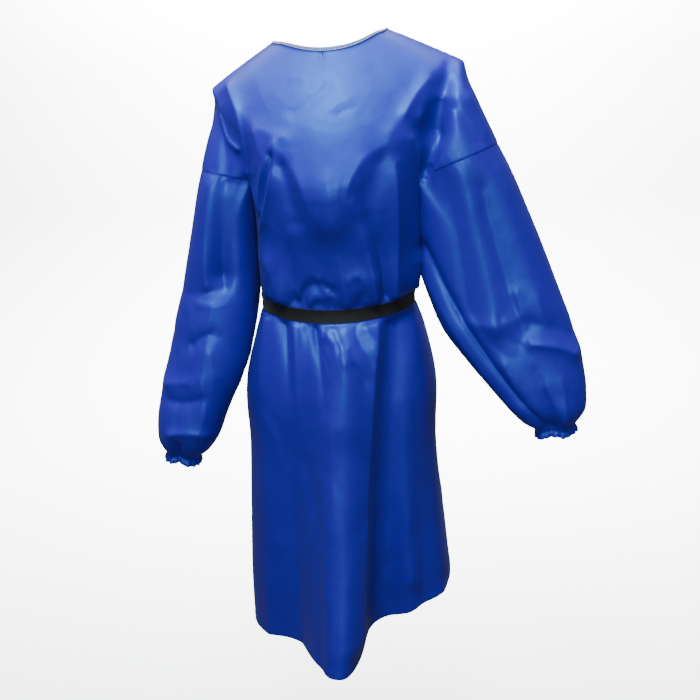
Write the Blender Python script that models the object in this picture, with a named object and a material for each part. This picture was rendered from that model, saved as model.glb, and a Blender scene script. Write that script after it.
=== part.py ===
"""Isolation gown, hollow and filled out as if worn, hanging from its shoulders.

The origin is midway between the shoulder tips. X runs to the wearer's left, the gown faces -Y and Z is up.
Every piece is one wall on a shared surface. Level functions give the torso, the sleeves, the slope of the
shoulders and the folds. Rays find that surface, and each panel is a grid laid along rings and seams on it.
"""
import functools
import math
from collections import namedtuple

import bmesh
import bpy
import numpy as np

OBJECT_NAME = "isolation_gown"
MM = 0.001

# Walls and gaps
WALL = 2.0 * MM
SEAM_INSET = 0.15 * MM
LAP_GAP = 0.7 * MM
BELT_GAP = 0.6 * MM
BELT_WALL = 1.8 * MM

# Steps of the surface search
SMALLEST = 1e-9
RAY_STEPS = 56
RAY_REACH = 0.42
FOLD_REACH = 0.036
FOLD_STEPS = 13
HALVINGS = 10
CURVE_SAMPLES = 48
NORMAL_STEP = 0.6 * MM
INNER_SHARE = 0.97
JUMP = 0.011
FAN_LEAN_POWER = 3

# Grid sizes of the pieces
NECK_COLUMNS = 5
SHOULDER_COLUMNS = 9
UPPER_ROWS = 9
CREASE_ROWS = 4
WAIST_ROWS = 3
BELT_ROWS = 2
SKIRT_ROWS = 13
UNDERARM_ROW = UPPER_ROWS + CREASE_ROWS
BELT_ROW = UNDERARM_ROW + WAIST_ROWS
SLEEVE_ROWS = 16
CUFF_ROWS = 3
CUFF_COLUMNS = 56
LAP_COLUMNS = 2
NECK_SHARE = NECK_COLUMNS / (NECK_COLUMNS + SHOULDER_COLUMNS)
SKIRT_ROW_POWER = 1.15
SLEEVE_SETTLED = 0.25

# Neck opening and back overlap
NECK_HALF_WIDTH = 0.105
NECK_FRONT_DEPTH = 0.072
NECK_BACK_DEPTH = 0.066
NECK_RAY_Z = -0.10
BACK_LAP = 0.22
LAP_LIFTED = 0.26
LAP_SETTLED = 0.62
SHOULDER_FAN_X = 0.135
SHOULDER_FAN_Z = -0.15

# Blending between torso and sleeves, and over the shoulders
ARM_BLEND = 0.026
LEAST_BLEND = 0.001
BLEND_RISE = 0.13
ROOF_BLEND = 0.030
ROOF_ROUNDNESS = 0.060
ROOF_STEEPNESS = 0.85
TIP_BLEND = 0.006
TIP_INNER_X = 0.15
TIP_OUTER_X = 0.20
SLEEVE_POWER = 2.3

# Cuff: elastic casing with a short ruffle
CUFF_LENGTH = 0.016
CUFF_WAVES = 14
CUFF_WAVE_HEIGHT = 2.6 * MM
CUFF_FLARE = 2.5 * MM
CUFF_PINCH = 1.5 * MM
CUFF_PINCH_END = 0.71

Torso = namedtuple("Torso", "height centre half_width front back power")
TORSO = (
    Torso(0.100, 0.003, 0.212, 0.046, 0.045, 2.2),
    Torso(0.040, 0.006, 0.222, 0.076, 0.070, 2.2),
    Torso(0.000, 0.006, 0.220, 0.103, 0.098, 2.2),
    Torso(-0.050, 0.005, 0.200, 0.136, 0.118, 2.3),
    Torso(-0.100, 0.003, 0.175, 0.164, 0.127, 2.4),
    Torso(-0.150, 0.002, 0.160, 0.177, 0.128, 2.4),
    Torso(-0.220, 0.001, 0.153, 0.169, 0.124, 2.4),
    Torso(-0.300, -0.001, 0.152, 0.148, 0.118, 2.4),
    Torso(-0.370, -0.004, 0.151, 0.136, 0.113, 2.4),
    Torso(-0.410, -0.006, 0.145, 0.127, 0.108, 2.3),
    Torso(-0.455, -0.005, 0.160, 0.138, 0.118, 2.3),
    Torso(-0.560, -0.007, 0.185, 0.150, 0.142, 2.3),
    Torso(-0.700, -0.010, 0.187, 0.148, 0.160, 2.3),
    Torso(-0.850, -0.009, 0.197, 0.142, 0.176, 2.4),
    Torso(-1.000, -0.005, 0.209, 0.137, 0.186, 2.4),
    Torso(-1.120, -0.001, 0.214, 0.132, 0.196, 2.4),
)

Arm = namedtuple("Arm", "height outer inner front back")
ARM_RIGHT = (
    Arm(0.080, -0.206, -0.110, -0.070, 0.076),
    Arm(-0.020, -0.220, -0.110, -0.086, 0.084),
    Arm(-0.120, -0.240, -0.128, -0.098, 0.084),
    Arm(-0.200, -0.260, -0.146, -0.100, 0.078),
    Arm(-0.280, -0.280, -0.153, -0.098, 0.072),
    Arm(-0.394, -0.312, -0.157, -0.102, 0.062),
    Arm(-0.452, -0.328, -0.168, -0.108, 0.054),
    Arm(-0.510, -0.342, -0.184, -0.116, 0.042),
    Arm(-0.569, -0.356, -0.208, -0.124, 0.026),
    Arm(-0.630, -0.366, -0.236, -0.130, 0.006),
    Arm(-0.668, -0.364, -0.253, -0.128, -0.012),
    Arm(-0.694, -0.356, -0.272, -0.116, -0.030),
    Arm(-0.712, -0.346, -0.286, -0.104, -0.042),
)
ARM_LEFT = (
    Arm(0.080, 0.215, 0.110, -0.070, 0.076),
    Arm(0.010, 0.234, 0.116, -0.084, 0.084),
    Arm(-0.060, 0.262, 0.126, -0.096, 0.084),
    Arm(-0.140, 0.302, 0.138, -0.102, 0.078),
    Arm(-0.193, 0.327, 0.143, -0.102, 0.070),
    Arm(-0.247, 0.350, 0.147, -0.100, 0.060),
    Arm(-0.320, 0.380, 0.152, -0.100, 0.046),
    Arm(-0.406, 0.413, 0.170, -0.104, 0.028),
    Arm(-0.463, 0.435, 0.193, -0.109, 0.016),
    Arm(-0.521, 0.450, 0.237, -0.115, 0.002),
    Arm(-0.580, 0.458, 0.287, -0.120, -0.012),
    Arm(-0.615, 0.456, 0.318, -0.120, -0.024),
    Arm(-0.640, 0.446, 0.344, -0.112, -0.036),
    Arm(-0.660, 0.434, 0.366, -0.104, -0.046),
)

Ridge = namedtuple("Ridge", "across height")
RIDGE = (
    Ridge(-0.300, -0.062),
    Ridge(-0.220, -0.010),
    Ridge(-0.180, 0.016),
    Ridge(-0.107, 0.060),
    Ridge(0.000, 0.106),
    Ridge(0.106, 0.074),
    Ridge(0.190, 0.038),
    Ridge(0.234, 0.018),
    Ridge(0.310, -0.016),
)

# Heights of the rings that go round the body, at the wearer's right, front, left and back
Level = namedtuple("Level", "right front left back")
ARMHOLE = Level(-0.176, -0.170, -0.190, -0.180)
UNDERARM = Level(-0.280, -0.270, -0.318, -0.285)
BELT_TOP = Level(-0.390, -0.404, -0.390, -0.384)
BELT_BOTTOM = Level(-0.414, -0.428, -0.414, -0.408)
HEM = Level(-1.096, -1.070, -0.998, -1.060)

# Sleeve rings: where the outer and inner line of each ring lies, from the armhole seam to the cuff
SleeveEnds = namedtuple("SleeveEnds", "outer_top outer_cuff inner_cuff")
SLEEVE_ENDS_RIGHT = SleeveEnds(-0.152, -0.688, -0.706)
SLEEVE_ENDS_LEFT = SleeveEnds(-0.127, -0.643, -0.656)

# The skirt's great front fold: crest, widths to each side and rise, by height
CONE_POWER = 2.5
CONE_TOP = -0.40
CONE_FULL = -0.45
CONE_BACK_EDGE = -0.06
Cone = namedtuple("Cone", "height crest right_width left_width rise")
FRONT_CONE = (
    Cone(-0.430, 0.012, 0.060, 0.058, 0.004),
    Cone(-0.490, 0.008, 0.058, 0.050, 0.014),
    Cone(-0.560, 0.002, 0.058, 0.048, 0.022),
    Cone(-0.700, -0.003, 0.064, 0.048, 0.048),
    Cone(-0.900, -0.008, 0.074, 0.049, 0.094),
    Cone(-1.120, -0.016, 0.084, 0.050, 0.156),
)

# Folds: soft ridges (rise above 0) and troughs (below 0) along a line in the front or back view
FOLD_SIDE_FROM = -0.02
FOLD_SIDE_FULL = 0.03
Fold = namedtuple("Fold", "side x0 z0 x1 z1 bow width rise0 rise1")
FRONT = -1
BACK = 1
FOLDS = (
    Fold(FRONT, -0.098, -0.125, -0.122, -0.250, 0.006, 0.010, 0.010, 0.005),
    Fold(FRONT, -0.108, -0.150, -0.118, -0.235, 0.004, 0.007, -0.005, -0.004),
    Fold(FRONT, -0.132, -0.095, -0.130, -0.190, -0.006, 0.009, 0.006, 0.003),
    Fold(FRONT, -0.092, -0.118, -0.026, -0.250, -0.010, 0.016, 0.007, 0.003),
    Fold(FRONT, 0.098, -0.118, 0.036, -0.215, 0.016, 0.015, 0.008, 0.003),
    Fold(FRONT, 0.075, -0.165, 0.070, -0.245, -0.006, 0.022, -0.009, -0.004),
    Fold(FRONT, 0.112, -0.135, 0.108, -0.380, 0.004, 0.013, 0.007, 0.006),
    Fold(FRONT, 0.040, -0.235, 0.082, -0.392, -0.006, 0.014, 0.004, 0.006),
    Fold(FRONT, 0.095, -0.280, 0.098, -0.392, 0.000, 0.012, -0.005, -0.006),
    Fold(FRONT, -0.118, -0.330, -0.112, -0.382, 0.000, 0.022, 0.010, 0.008),
    Fold(FRONT, -0.036, -0.388, 0.000, -0.362, 0.010, 0.008, -0.004, -0.004),
    Fold(FRONT, -0.062, -0.330, -0.064, -0.392, 0.000, 0.010, -0.004, -0.006),
    Fold(FRONT, -0.198, -0.040, -0.168, -0.130, 0.016, 0.012, 0.006, 0.004),
    Fold(FRONT, -0.180, -0.030, -0.164, -0.130, 0.004, 0.012, -0.008, -0.003),
    Fold(FRONT, 0.196, 0.000, 0.176, -0.170, -0.010, 0.014, -0.010, -0.012),
    Fold(FRONT, 0.214, -0.050, 0.246, -0.120, 0.006, 0.016, 0.005, 0.004),
    Fold(FRONT, -0.210, -0.235, -0.222, -0.370, 0.020, 0.036, -0.022, -0.020),
    Fold(FRONT, -0.268, -0.385, -0.170, -0.375, -0.010, 0.016, 0.007, 0.006),
    Fold(FRONT, -0.262, -0.185, -0.278, -0.340, 0.000, 0.014, 0.005, 0.005),
    Fold(FRONT, -0.262, -0.468, -0.290, -0.482, 0.000, 0.010, -0.005, -0.003),
    Fold(FRONT, -0.330, -0.560, -0.300, -0.640, 0.000, 0.020, 0.004, 0.004),
    Fold(FRONT, -0.318, -0.672, -0.322, -0.716, 0.000, 0.012, -0.010, -0.006),
    Fold(FRONT, 0.158, -0.290, 0.378, -0.655, 0.010, 0.007, 0.005, 0.005),
    Fold(FRONT, 0.182, -0.300, 0.372, -0.625, 0.012, 0.008, -0.004, -0.005),
    Fold(FRONT, 0.232, -0.190, 0.262, -0.400, 0.010, 0.022, 0.008, 0.005),
    Fold(FRONT, 0.290, -0.240, 0.352, -0.520, -0.014, 0.020, -0.008, -0.006),
    Fold(FRONT, 0.340, -0.430, 0.440, -0.460, 0.016, 0.016, 0.006, 0.004),
    Fold(FRONT, 0.384, -0.540, 0.402, -0.670, 0.010, 0.014, -0.008, -0.008),
    Fold(FRONT, -0.118, -0.440, -0.108, -0.600, 0.004, 0.009, -0.007, -0.003),
    Fold(FRONT, -0.142, -0.450, -0.140, -0.640, 0.004, 0.014, 0.006, 0.004),
    Fold(FRONT, -0.088, -0.450, -0.080, -0.560, 0.000, 0.014, 0.004, 0.002),
    Fold(FRONT, 0.105, -0.450, 0.118, -0.900, -0.010, 0.020, 0.004, 0.010),
    Fold(FRONT, 0.160, -0.620, 0.188, -1.070, 0.000, 0.018, 0.004, 0.012),
    Fold(FRONT, 0.066, -0.455, 0.072, -0.760, 0.000, 0.016, -0.005, -0.008),
    Fold(FRONT, -0.150, -0.800, -0.165, -1.110, 0.000, 0.030, 0.002, 0.008),
    Fold(BACK, -0.125, -0.100, -0.118, -0.370, 0.006, 0.020, 0.007, 0.008),
    Fold(BACK, 0.120, -0.110, 0.112, -0.375, -0.006, 0.020, 0.007, 0.008),
    Fold(BACK, -0.060, -0.220, -0.070, -0.385, 0.000, 0.014, -0.003, -0.007),
    Fold(BACK, 0.062, -0.200, 0.068, -0.385, 0.000, 0.014, -0.003, -0.007),
    Fold(BACK, 0.182, -0.020, 0.165, -0.200, -0.006, 0.015, -0.008, -0.009),
    Fold(BACK, -0.182, -0.040, -0.160, -0.200, 0.006, 0.015, -0.008, -0.009),
    Fold(BACK, -0.105, -0.430, -0.150, -1.090, 0.000, 0.034, 0.006, 0.026),
    Fold(BACK, 0.112, -0.430, 0.148, -1.080, 0.000, 0.034, 0.006, 0.024),
    Fold(BACK, -0.020, -0.440, -0.030, -1.090, 0.000, 0.036, 0.003, 0.022),
    Fold(BACK, -0.072, -0.440, -0.092, -1.090, 0.000, 0.022, -0.006, -0.014),
    Fold(BACK, 0.060, -0.440, 0.066, -1.090, 0.000, 0.024, -0.006, -0.014),
    Fold(BACK, -0.240, -0.220, -0.262, -0.420, 0.016, 0.026, -0.012, -0.010),
    Fold(BACK, 0.262, -0.220, 0.330, -0.480, 0.010, 0.026, -0.012, -0.010),
    Fold(BACK, -0.318, -0.640, -0.322, -0.716, 0.000, 0.013, -0.006, -0.006),
    Fold(BACK, 0.384, -0.560, 0.402, -0.670, 0.006, 0.015, -0.007, -0.007),
)


@functools.lru_cache(maxsize=None)
def table_curve(rows, key, column):
    """Knots, values and slopes of one column of a table, for reading it smoothly."""
    ordered = sorted(rows, key=lambda row: getattr(row, key))
    knots = np.array([getattr(row, key) for row in ordered])
    values = np.array([getattr(row, column) for row in ordered])
    return knots, values, np.gradient(values, knots)


def smooth_column(rows, key, column, at):
    """One column of a table, read smoothly (cubic between rows) at the values `at` of its key column."""
    knots, values, slopes = table_curve(rows, key, column)
    at = np.clip(at, knots[0], knots[-1])
    place = np.clip(np.searchsorted(knots, at) - 1, 0, len(knots) - 2)
    step = knots[place + 1] - knots[place]
    t = (at - knots[place]) / step
    start = (2 * t**3 - 3 * t**2 + 1) * values[place] + (t**3 - 2 * t**2 + t) * step * slopes[place]
    end = (3 * t**2 - 2 * t**3) * values[place + 1] + (t**3 - t**2) * step * slopes[place + 1]
    return start + end


def smooth_step(low, high, at):
    """0 below low, 1 above high and a soft rise between them."""
    t = np.clip((at - low) / (high - low), 0.0, 1.0)
    return t * t * (3 - 2 * t)


def oval_level(dx, dy, half_width, half_depth, power):
    """Distance along the ray from an oval's centre, below 0 inside it."""
    dx = dx + SMALLEST
    ratio = ((np.abs(dx) / half_width) ** power + (np.abs(dy) / half_depth) ** power) ** (1 / power)
    reach = np.hypot(dx, dy)
    return reach - reach / ratio


def torso_level(points):
    """Body of the gown without sleeves, with the skirt's front cone fold."""
    x, y, z = points.T
    centre = smooth_column(TORSO, "height", "centre", z)
    half_width = smooth_column(TORSO, "height", "half_width", z)
    front = smooth_column(TORSO, "height", "front", z)
    back = smooth_column(TORSO, "height", "back", z)
    power = smooth_column(TORSO, "height", "power", z)
    level = oval_level(x - centre, y, half_width, np.where(y < 0, front, back), power)
    crest = smooth_column(FRONT_CONE, "height", "crest", z)
    left = smooth_column(FRONT_CONE, "height", "left_width", z)
    right = smooth_column(FRONT_CONE, "height", "right_width", z)
    rise = smooth_column(FRONT_CONE, "height", "rise", z) * smooth_step(CONE_TOP, CONE_FULL, z)
    across = (x - crest) / np.where(x < crest, right, left)
    return level - rise * np.exp(-np.abs(across) ** CONE_POWER) * smooth_step(0.0, CONE_BACK_EDGE, y)


def arm_level(points, rows):
    """One sleeve as a stack of ovals."""
    x, y, z = points.T
    outer = smooth_column(rows, "height", "outer", z)
    inner = smooth_column(rows, "height", "inner", z)
    front = smooth_column(rows, "height", "front", z)
    back = smooth_column(rows, "height", "back", z)
    from_middle_x = x - (outer + inner) / 2
    from_middle_y = y - (front + back) / 2
    half_width = np.abs(outer - inner) / 2
    half_depth = (back - front) / 2
    return oval_level(from_middle_x, from_middle_y, half_width, half_depth, SLEEVE_POWER)


def sleeve_form(rows):
    """The level of one sleeve alone."""
    return lambda points: arm_level(points, rows)


def roof_level(points):
    """Slope of the shoulders, rounded over the ridge."""
    x, y, z = points.T
    ridge = smooth_column(RIDGE, "across", "height", x)
    return (z - ridge + y * y / (2 * ROOF_ROUNDNESS)) * ROOF_STEEPNESS


def fold_rise(points):
    """How far the folds push the surface out at each point."""
    x, y, z = points.T
    rise = np.zeros(len(points))
    for fold in FOLDS:
        along = np.array([fold.x1 - fold.x0, fold.z1 - fold.z0])
        length = math.hypot(*along)
        along = along / length
        from_start_x = x - fold.x0
        from_start_z = z - fold.z0
        t = np.clip((from_start_x * along[0] + from_start_z * along[1]) / length, 0.0, 1.0)
        bend = fold.bow * 4 * t * (1 - t)
        near_x = fold.x0 + along[0] * length * t - along[1] * bend
        near_z = fold.z0 + along[1] * length * t + along[0] * bend
        apart = (x - near_x) ** 2 + (z - near_z) ** 2
        facing = smooth_step(FOLD_SIDE_FROM, FOLD_SIDE_FULL, y * fold.side)
        rise += (fold.rise0 + (fold.rise1 - fold.rise0) * t) * np.exp(-apart / fold.width**2) * facing
    return rise


def blend_low(a, b, width):
    """The lower of two levels with a soft corner."""
    share = np.clip(0.5 + 0.5 * (b - a) / width, 0.0, 1.0)
    return b + (a - b) * share - width * share * (1 - share)


def gown_level(points):
    """The whole outer form without its folds: torso and sleeves joined, cut by the shoulder slope."""
    z = points[:, 2]
    level = torso_level(points)
    for rows, crotch in ((ARM_RIGHT, UNDERARM.right), (ARM_LEFT, UNDERARM.left)):
        width = LEAST_BLEND + ARM_BLEND * smooth_step(crotch, crotch + BLEND_RISE, z)
        level = blend_low(level, arm_level(points, rows), width)
    sharp = smooth_step(TIP_INNER_X, TIP_OUTER_X, np.abs(points[:, 0]))
    return -blend_low(-level, -roof_level(points), ROOF_BLEND + (TIP_BLEND - ROOF_BLEND) * sharp)


def cast(origins, directions, form):
    """First point on each ray where a form's level, with the folds on it, rises through 0."""
    directions = directions / np.linalg.norm(directions, axis=1)[:, None]
    count = len(origins)

    def first_crossing(marks, level):
        samples = origins[:, None, :] + directions[:, None, :] * marks[:, :, None]
        values = level(samples.reshape(-1, 3)).reshape(marks.shape)
        crossed = (values[:, 1:] > 0) & (values[:, :-1] <= 0)
        found = np.argmax(crossed, axis=1)
        rows = np.arange(count)
        return marks[rows, found], marks[rows, found + 1]

    def folded(points):
        return form(points) - fold_rise(points)

    low, high = first_crossing(np.tile(np.linspace(0.0, RAY_REACH, RAY_STEPS), (count, 1)), form)
    window = np.linspace(-FOLD_REACH, FOLD_REACH, FOLD_STEPS)
    low, high = first_crossing(np.maximum(low[:, None] + window[None, :], 0.0), folded)
    for _ in range(HALVINGS):
        middle = (low + high) / 2
        outside = folded(origins + directions * middle[:, None]) > 0
        high = np.where(outside, middle, high)
        low = np.where(outside, low, middle)
    return origins + directions * low[:, None]


def outward(points, form):
    """Unit normals of the folded surface of a form, away from the hollow."""

    def level(at):
        return form(at) - fold_rise(at)

    slopes = []
    for axis in range(3):
        shift = np.zeros(3)
        shift[axis] = NORMAL_STEP
        slopes.append(level(points + shift) - level(points - shift))
    normals = np.stack(slopes, axis=1)
    return normals / np.linalg.norm(normals, axis=1)[:, None]


def spread(curve, shares):
    """Points at given shares of a curve's length."""
    lengths = np.concatenate([[0.0], np.cumsum(np.linalg.norm(np.diff(curve, axis=0), axis=1))])
    wanted = np.asarray(shares) * lengths[-1]
    return np.stack([np.interp(wanted, lengths, curve[:, axis]) for axis in range(3)], axis=1)


def without_jumps(curve, limit):
    """A dense curve less the samples that slipped past a crease; its ends stay."""
    kept = [0]
    for place in range(1, len(curve) - 1):
        if np.linalg.norm(curve[place] - curve[kept[-1]]) <= limit * (place - kept[-1]):
            kept.append(place)
    return curve[kept + [len(curve) - 1]]


def ring_height(level, side, facing, angle):
    """Height of a body ring at an angle from the front or back centre towards a side."""
    at_side = level.left if side > 0 else level.right
    at_centre = level.back if facing > 0 else level.front
    return at_side + (at_centre - at_side) * np.cos(angle) ** 2


def body_ring(level, side, facing):
    """Dense curve on the torso from its front or back centre to its side seam."""
    angle = np.linspace(0.0, math.pi / 2, CURVE_SAMPLES)
    heights = ring_height(level, side, facing, angle)
    centre = smooth_column(TORSO, "height", "centre", heights)
    origins = np.stack([centre, np.zeros_like(angle), heights], axis=1)
    directions = np.stack([side * np.sin(angle), facing * np.cos(angle), np.zeros_like(angle)], axis=1)
    return cast(origins, directions, torso_level)


def between(low, high, share):
    """A ring's heights part of the way from one ring to another."""
    return Level(*(a + (b - a) * share for a, b in zip(low, high)))


def lower_levels():
    """Rings from the underarm to the hem."""
    rings = [between(UNDERARM, BELT_TOP, row / WAIST_ROWS) for row in range(WAIST_ROWS)]
    rings += [between(BELT_TOP, BELT_BOTTOM, row / BELT_ROWS) for row in range(BELT_ROWS)]
    shares = [(row / SKIRT_ROWS) ** SKIRT_ROW_POWER for row in range(SKIRT_ROWS + 1)]
    rings += [between(BELT_BOTTOM, HEM, share) for share in shares]
    return rings


def arm_rows(side):
    """The table of the sleeve on one side."""
    return ARM_LEFT if side > 0 else ARM_RIGHT


def sleeve_ends(side):
    """Where the sleeve's rings lie on one side."""
    return SLEEVE_ENDS_LEFT if side > 0 else SLEEVE_ENDS_RIGHT


def arm_centre(side, height):
    """Middle of a sleeve's oval at a height."""
    rows = arm_rows(side)
    outer = smooth_column(rows, "height", "outer", height)
    inner = smooth_column(rows, "height", "inner", height)
    front = smooth_column(rows, "height", "front", height)
    back = smooth_column(rows, "height", "back", height)
    return (outer + inner) / 2, (front + back) / 2


def armhole_top(side):
    """Where the shoulder seam meets the sleeve's seam."""
    height = sleeve_ends(side).outer_top
    middle, _ = arm_centre(side, np.array([height]))
    origin = np.array([[middle[0], 0.0, height]])
    return cast(origin, np.array([[side, 0.0, 0.0]]), gown_level)[0]


def top_edge(side, facing):
    """Neckline from the centre to the neck corner, then the shoulder seam down to the sleeve's seam."""
    angle = np.linspace(0.0, math.pi / 2, CURVE_SAMPLES)
    depth = NECK_BACK_DEPTH if facing > 0 else NECK_FRONT_DEPTH
    plan_x = side * NECK_HALF_WIDTH * np.sin(angle)
    plan_y = facing * depth * np.cos(angle)
    origins = np.stack([plan_x, plan_y, np.full_like(angle, NECK_RAY_Z)], axis=1)
    neck = cast(origins, np.tile([0.0, 0.0, 1.0], (CURVE_SAMPLES, 1)), gown_level)
    start = np.array([side * SHOULDER_FAN_X, 0.0, SHOULDER_FAN_Z])
    first = neck[-1] - start
    last = armhole_top(side) - start
    start_turn = math.atan2(first[2], side * first[0])
    end_turn = math.atan2(last[2], side * last[0])
    turn = np.linspace(start_turn, end_turn, CURVE_SAMPLES)
    directions = np.stack([side * np.cos(turn), np.zeros_like(turn), np.sin(turn)], axis=1)
    shoulder = cast(np.tile(start, (CURVE_SAMPLES, 1)), directions, gown_level)
    return neck, shoulder


def top_points(side, facing, shares):
    """Points of the top edge at column shares from 0 (centre) to 1 (sleeve's seam)."""
    neck, shoulder = top_edge(side, facing)
    shares = np.asarray(shares)
    on_neck = spread(neck, np.clip(shares / NECK_SHARE, 0.0, 1.0))
    on_shoulder = spread(shoulder, np.clip((shares - NECK_SHARE) / (1 - NECK_SHARE), 0.0, 1.0))
    return np.where((shares <= NECK_SHARE)[:, None], on_neck, on_shoulder)


def fan(top, bottom, centre, facing, level):
    """Dense curve on the surface from top to bottom, round the front or back of a centre."""
    first = top - centre
    size = np.linalg.norm(first)
    first = first / size
    across = np.array([0.0, facing, 0.0])
    across = across - first * np.dot(across, first)
    across = across / np.linalg.norm(across)
    last = bottom - centre
    end = math.atan2(np.dot(last, across), np.dot(last, first))
    if end < 0:
        end += 2 * math.pi
    rest = last - first * np.dot(last, first) - across * np.dot(last, across)
    rest = rest / np.linalg.norm(last)
    turn = np.linspace(0.0, end, CURVE_SAMPLES)[:, None]
    directions = np.cos(turn) * first + np.sin(turn) * across + rest * (turn / end) ** FAN_LEAN_POWER
    curve = cast(np.tile(centre, (CURVE_SAMPLES, 1)), directions, level)
    curve[0] = top
    curve[-1] = bottom
    return without_jumps(curve, JUMP)


def crease(side, facing, heights):
    """Valley between torso and sleeve at each height, down to the underarm point."""
    rows = arm_rows(side)
    angle = np.linspace(math.pi / 2, 0.0, CURVE_SAMPLES)
    across = []
    for height in heights:
        centre = smooth_column(TORSO, "height", "centre", np.array([height]))[0]
        origins = np.tile([centre, 0.0, height], (CURVE_SAMPLES, 1))
        directions = np.stack([side * np.sin(angle), facing * np.cos(angle), np.zeros_like(angle)], axis=1)
        ring = cast(origins, directions, torso_level)
        apart = arm_level(ring, rows)
        place = int(np.argmax(apart > 0))
        if place == 0:
            across.append(ring[0, 0])
            continue
        share = apart[place - 1] / (apart[place - 1] - apart[place])
        across.append(ring[place - 1, 0] + (ring[place, 0] - ring[place - 1, 0]) * share)
    origins = np.stack([across, np.zeros(len(heights)), heights], axis=1)
    return cast(origins, np.tile([0.0, facing, 0.0], (len(heights), 1)), gown_level)


def crease_levels():
    """Rings from where the sleeve's seam enters the crease down to the underarm."""
    return [between(ARMHOLE, UNDERARM, row / CREASE_ROWS) for row in range(CREASE_ROWS)]


def crease_points(side, facing):
    """The seam's points along the crease, one for each crease ring."""
    heights = [level.left if side > 0 else level.right for level in crease_levels()]
    return crease(side, facing, np.array(heights))


def crease_ring(level, side, facing, end_point):
    """Dense curve on the body from its centre to the crease."""
    end_centre = smooth_column(TORSO, "height", "centre", end_point[2:])[0]
    end_angle = math.atan2(abs(end_point[0] - end_centre), abs(end_point[1]))
    share = np.linspace(0.0, 1.0, CURVE_SAMPLES)
    angle = share * end_angle
    heights = ring_height(level, side, facing, share * math.pi / 2)
    centre = smooth_column(TORSO, "height", "centre", heights)
    origins = np.stack([centre, np.zeros_like(angle), heights], axis=1)
    directions = np.stack([side * np.sin(angle), facing * np.cos(angle), np.zeros_like(angle)], axis=1)
    curve = cast(origins, directions, gown_level)
    curve[-1] = end_point
    return without_jumps(curve, JUMP)


def body_columns(side, facing, shares):
    """Grid of points, one row of the array for each share, running from the top edge to the hem."""
    ends = zip(crease_levels(), crease_points(side, facing))
    rings = [spread(crease_ring(level, side, facing, end), shares) for level, end in ends]
    rings += [spread(body_ring(level, side, facing), shares) for level in lower_levels()]
    tops = top_points(side, facing, shares)
    columns = []
    for place in range(len(shares)):
        top = tops[place]
        bottom = rings[0][place]
        centre = np.array([bottom[0] * INNER_SHARE, 0.0, (top[2] + bottom[2]) / 2])
        curve = fan(top, bottom, centre, facing, gown_level)
        upper = spread(curve, np.linspace(0.0, 1.0, UPPER_ROWS + 1))
        lower = np.stack([ring[place] for ring in rings[1:]])
        columns.append(np.concatenate([upper, lower]))
    return np.stack(columns)


def body_normals(grid):
    """Normals of a body grid: the joined surface above the underarm row, the torso's below it."""
    normals = np.empty_like(grid)
    upper = grid[:, :UNDERARM_ROW]
    lower = grid[:, UNDERARM_ROW:]
    normals[:, :UNDERARM_ROW] = outward(upper.reshape(-1, 3), gown_level).reshape(upper.shape)
    normals[:, UNDERARM_ROW:] = outward(lower.reshape(-1, 3), torso_level).reshape(lower.shape)
    return normals


def column_shares():
    """Share of the way from the centre to the side at each column."""
    return np.arange(NECK_COLUMNS + SHOULDER_COLUMNS + 1) / (NECK_COLUMNS + SHOULDER_COLUMNS)


def join_halves(right, left):
    """One grid from the wearer's right side to the left, from two halves that share the centre column."""
    return np.concatenate([right[::-1], left[1:]])


def inset_edge(grid, axis, at_start):
    """Draw one edge of a grid back from its seam."""
    edge = 0 if at_start else -1
    beside = 1 if at_start else -2
    moved = np.moveaxis(grid, axis, 0)
    away = moved[beside] - moved[edge]
    moved[edge] += away / np.linalg.norm(away, axis=1)[:, None] * SEAM_INSET


def set_underarm_normals(normals, column):
    """At the underarm point the wall turns straight down between torso and sleeve."""
    normals[column, UNDERARM_ROW] = (0.0, 0.0, -1.0)


def wall_object(name, outer, inner, material, closed_across=False):
    """One wall between two grids of points; closed_across joins its first column to its last."""
    across, along = outer.shape[:2]
    mesh_builder = bmesh.new()
    bmesh.ops.create_grid(mesh_builder, x_segments=across - 1, y_segments=along - 1, size=1)
    number = mesh_builder.verts.layers.int.new("grid_point")
    for index, vertex in enumerate(mesh_builder.verts):
        vertex[number] = index
        row, column = divmod(index, across)
        vertex.co = outer[column, row]
    if closed_across:
        bmesh.ops.remove_doubles(mesh_builder, verts=mesh_builder.verts[:], dist=1e-6)
    made = bmesh.ops.extrude_face_region(mesh_builder, geom=mesh_builder.faces[:])
    for item in made["geom"]:
        if isinstance(item, bmesh.types.BMVert):
            row, column = divmod(item[number], across)
            item.co = inner[column, row]
    bmesh.ops.recalc_face_normals(mesh_builder, faces=mesh_builder.faces[:])
    if mesh_builder.calc_volume(signed=True) < 0:
        bmesh.ops.reverse_faces(mesh_builder, faces=mesh_builder.faces[:])
    bmesh.ops.triangulate(mesh_builder, faces=mesh_builder.faces[:])
    mesh = bpy.data.meshes.new(name)
    mesh_builder.to_mesh(mesh)
    mesh_builder.free()
    mesh.materials.append(material)
    mesh.shade_smooth()
    mesh.set_sharp_from_angle(angle=math.radians(50))
    result = bpy.data.objects.new(name, mesh)
    bpy.data.collections[OBJECT_NAME].objects.link(result)
    return result


def finish(name, colour, roughness):
    """Plain cloth finish of one piece."""
    material = bpy.data.materials.new(name)
    material.use_nodes = True
    shader = material.node_tree.nodes["Principled BSDF"]
    shader.inputs["Base Color"].default_value = (*colour, 1.0)
    shader.inputs["Roughness"].default_value = roughness
    shader.inputs["Metallic"].default_value = 0.0
    return material


def front_panel():
    """The front, one piece from side seam to side seam."""
    shares = column_shares()
    grid = join_halves(body_columns(-1, FRONT, shares), body_columns(1, FRONT, shares))
    normals = body_normals(grid)
    set_underarm_normals(normals, 0)
    set_underarm_normals(normals, -1)
    return grid, normals


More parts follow.
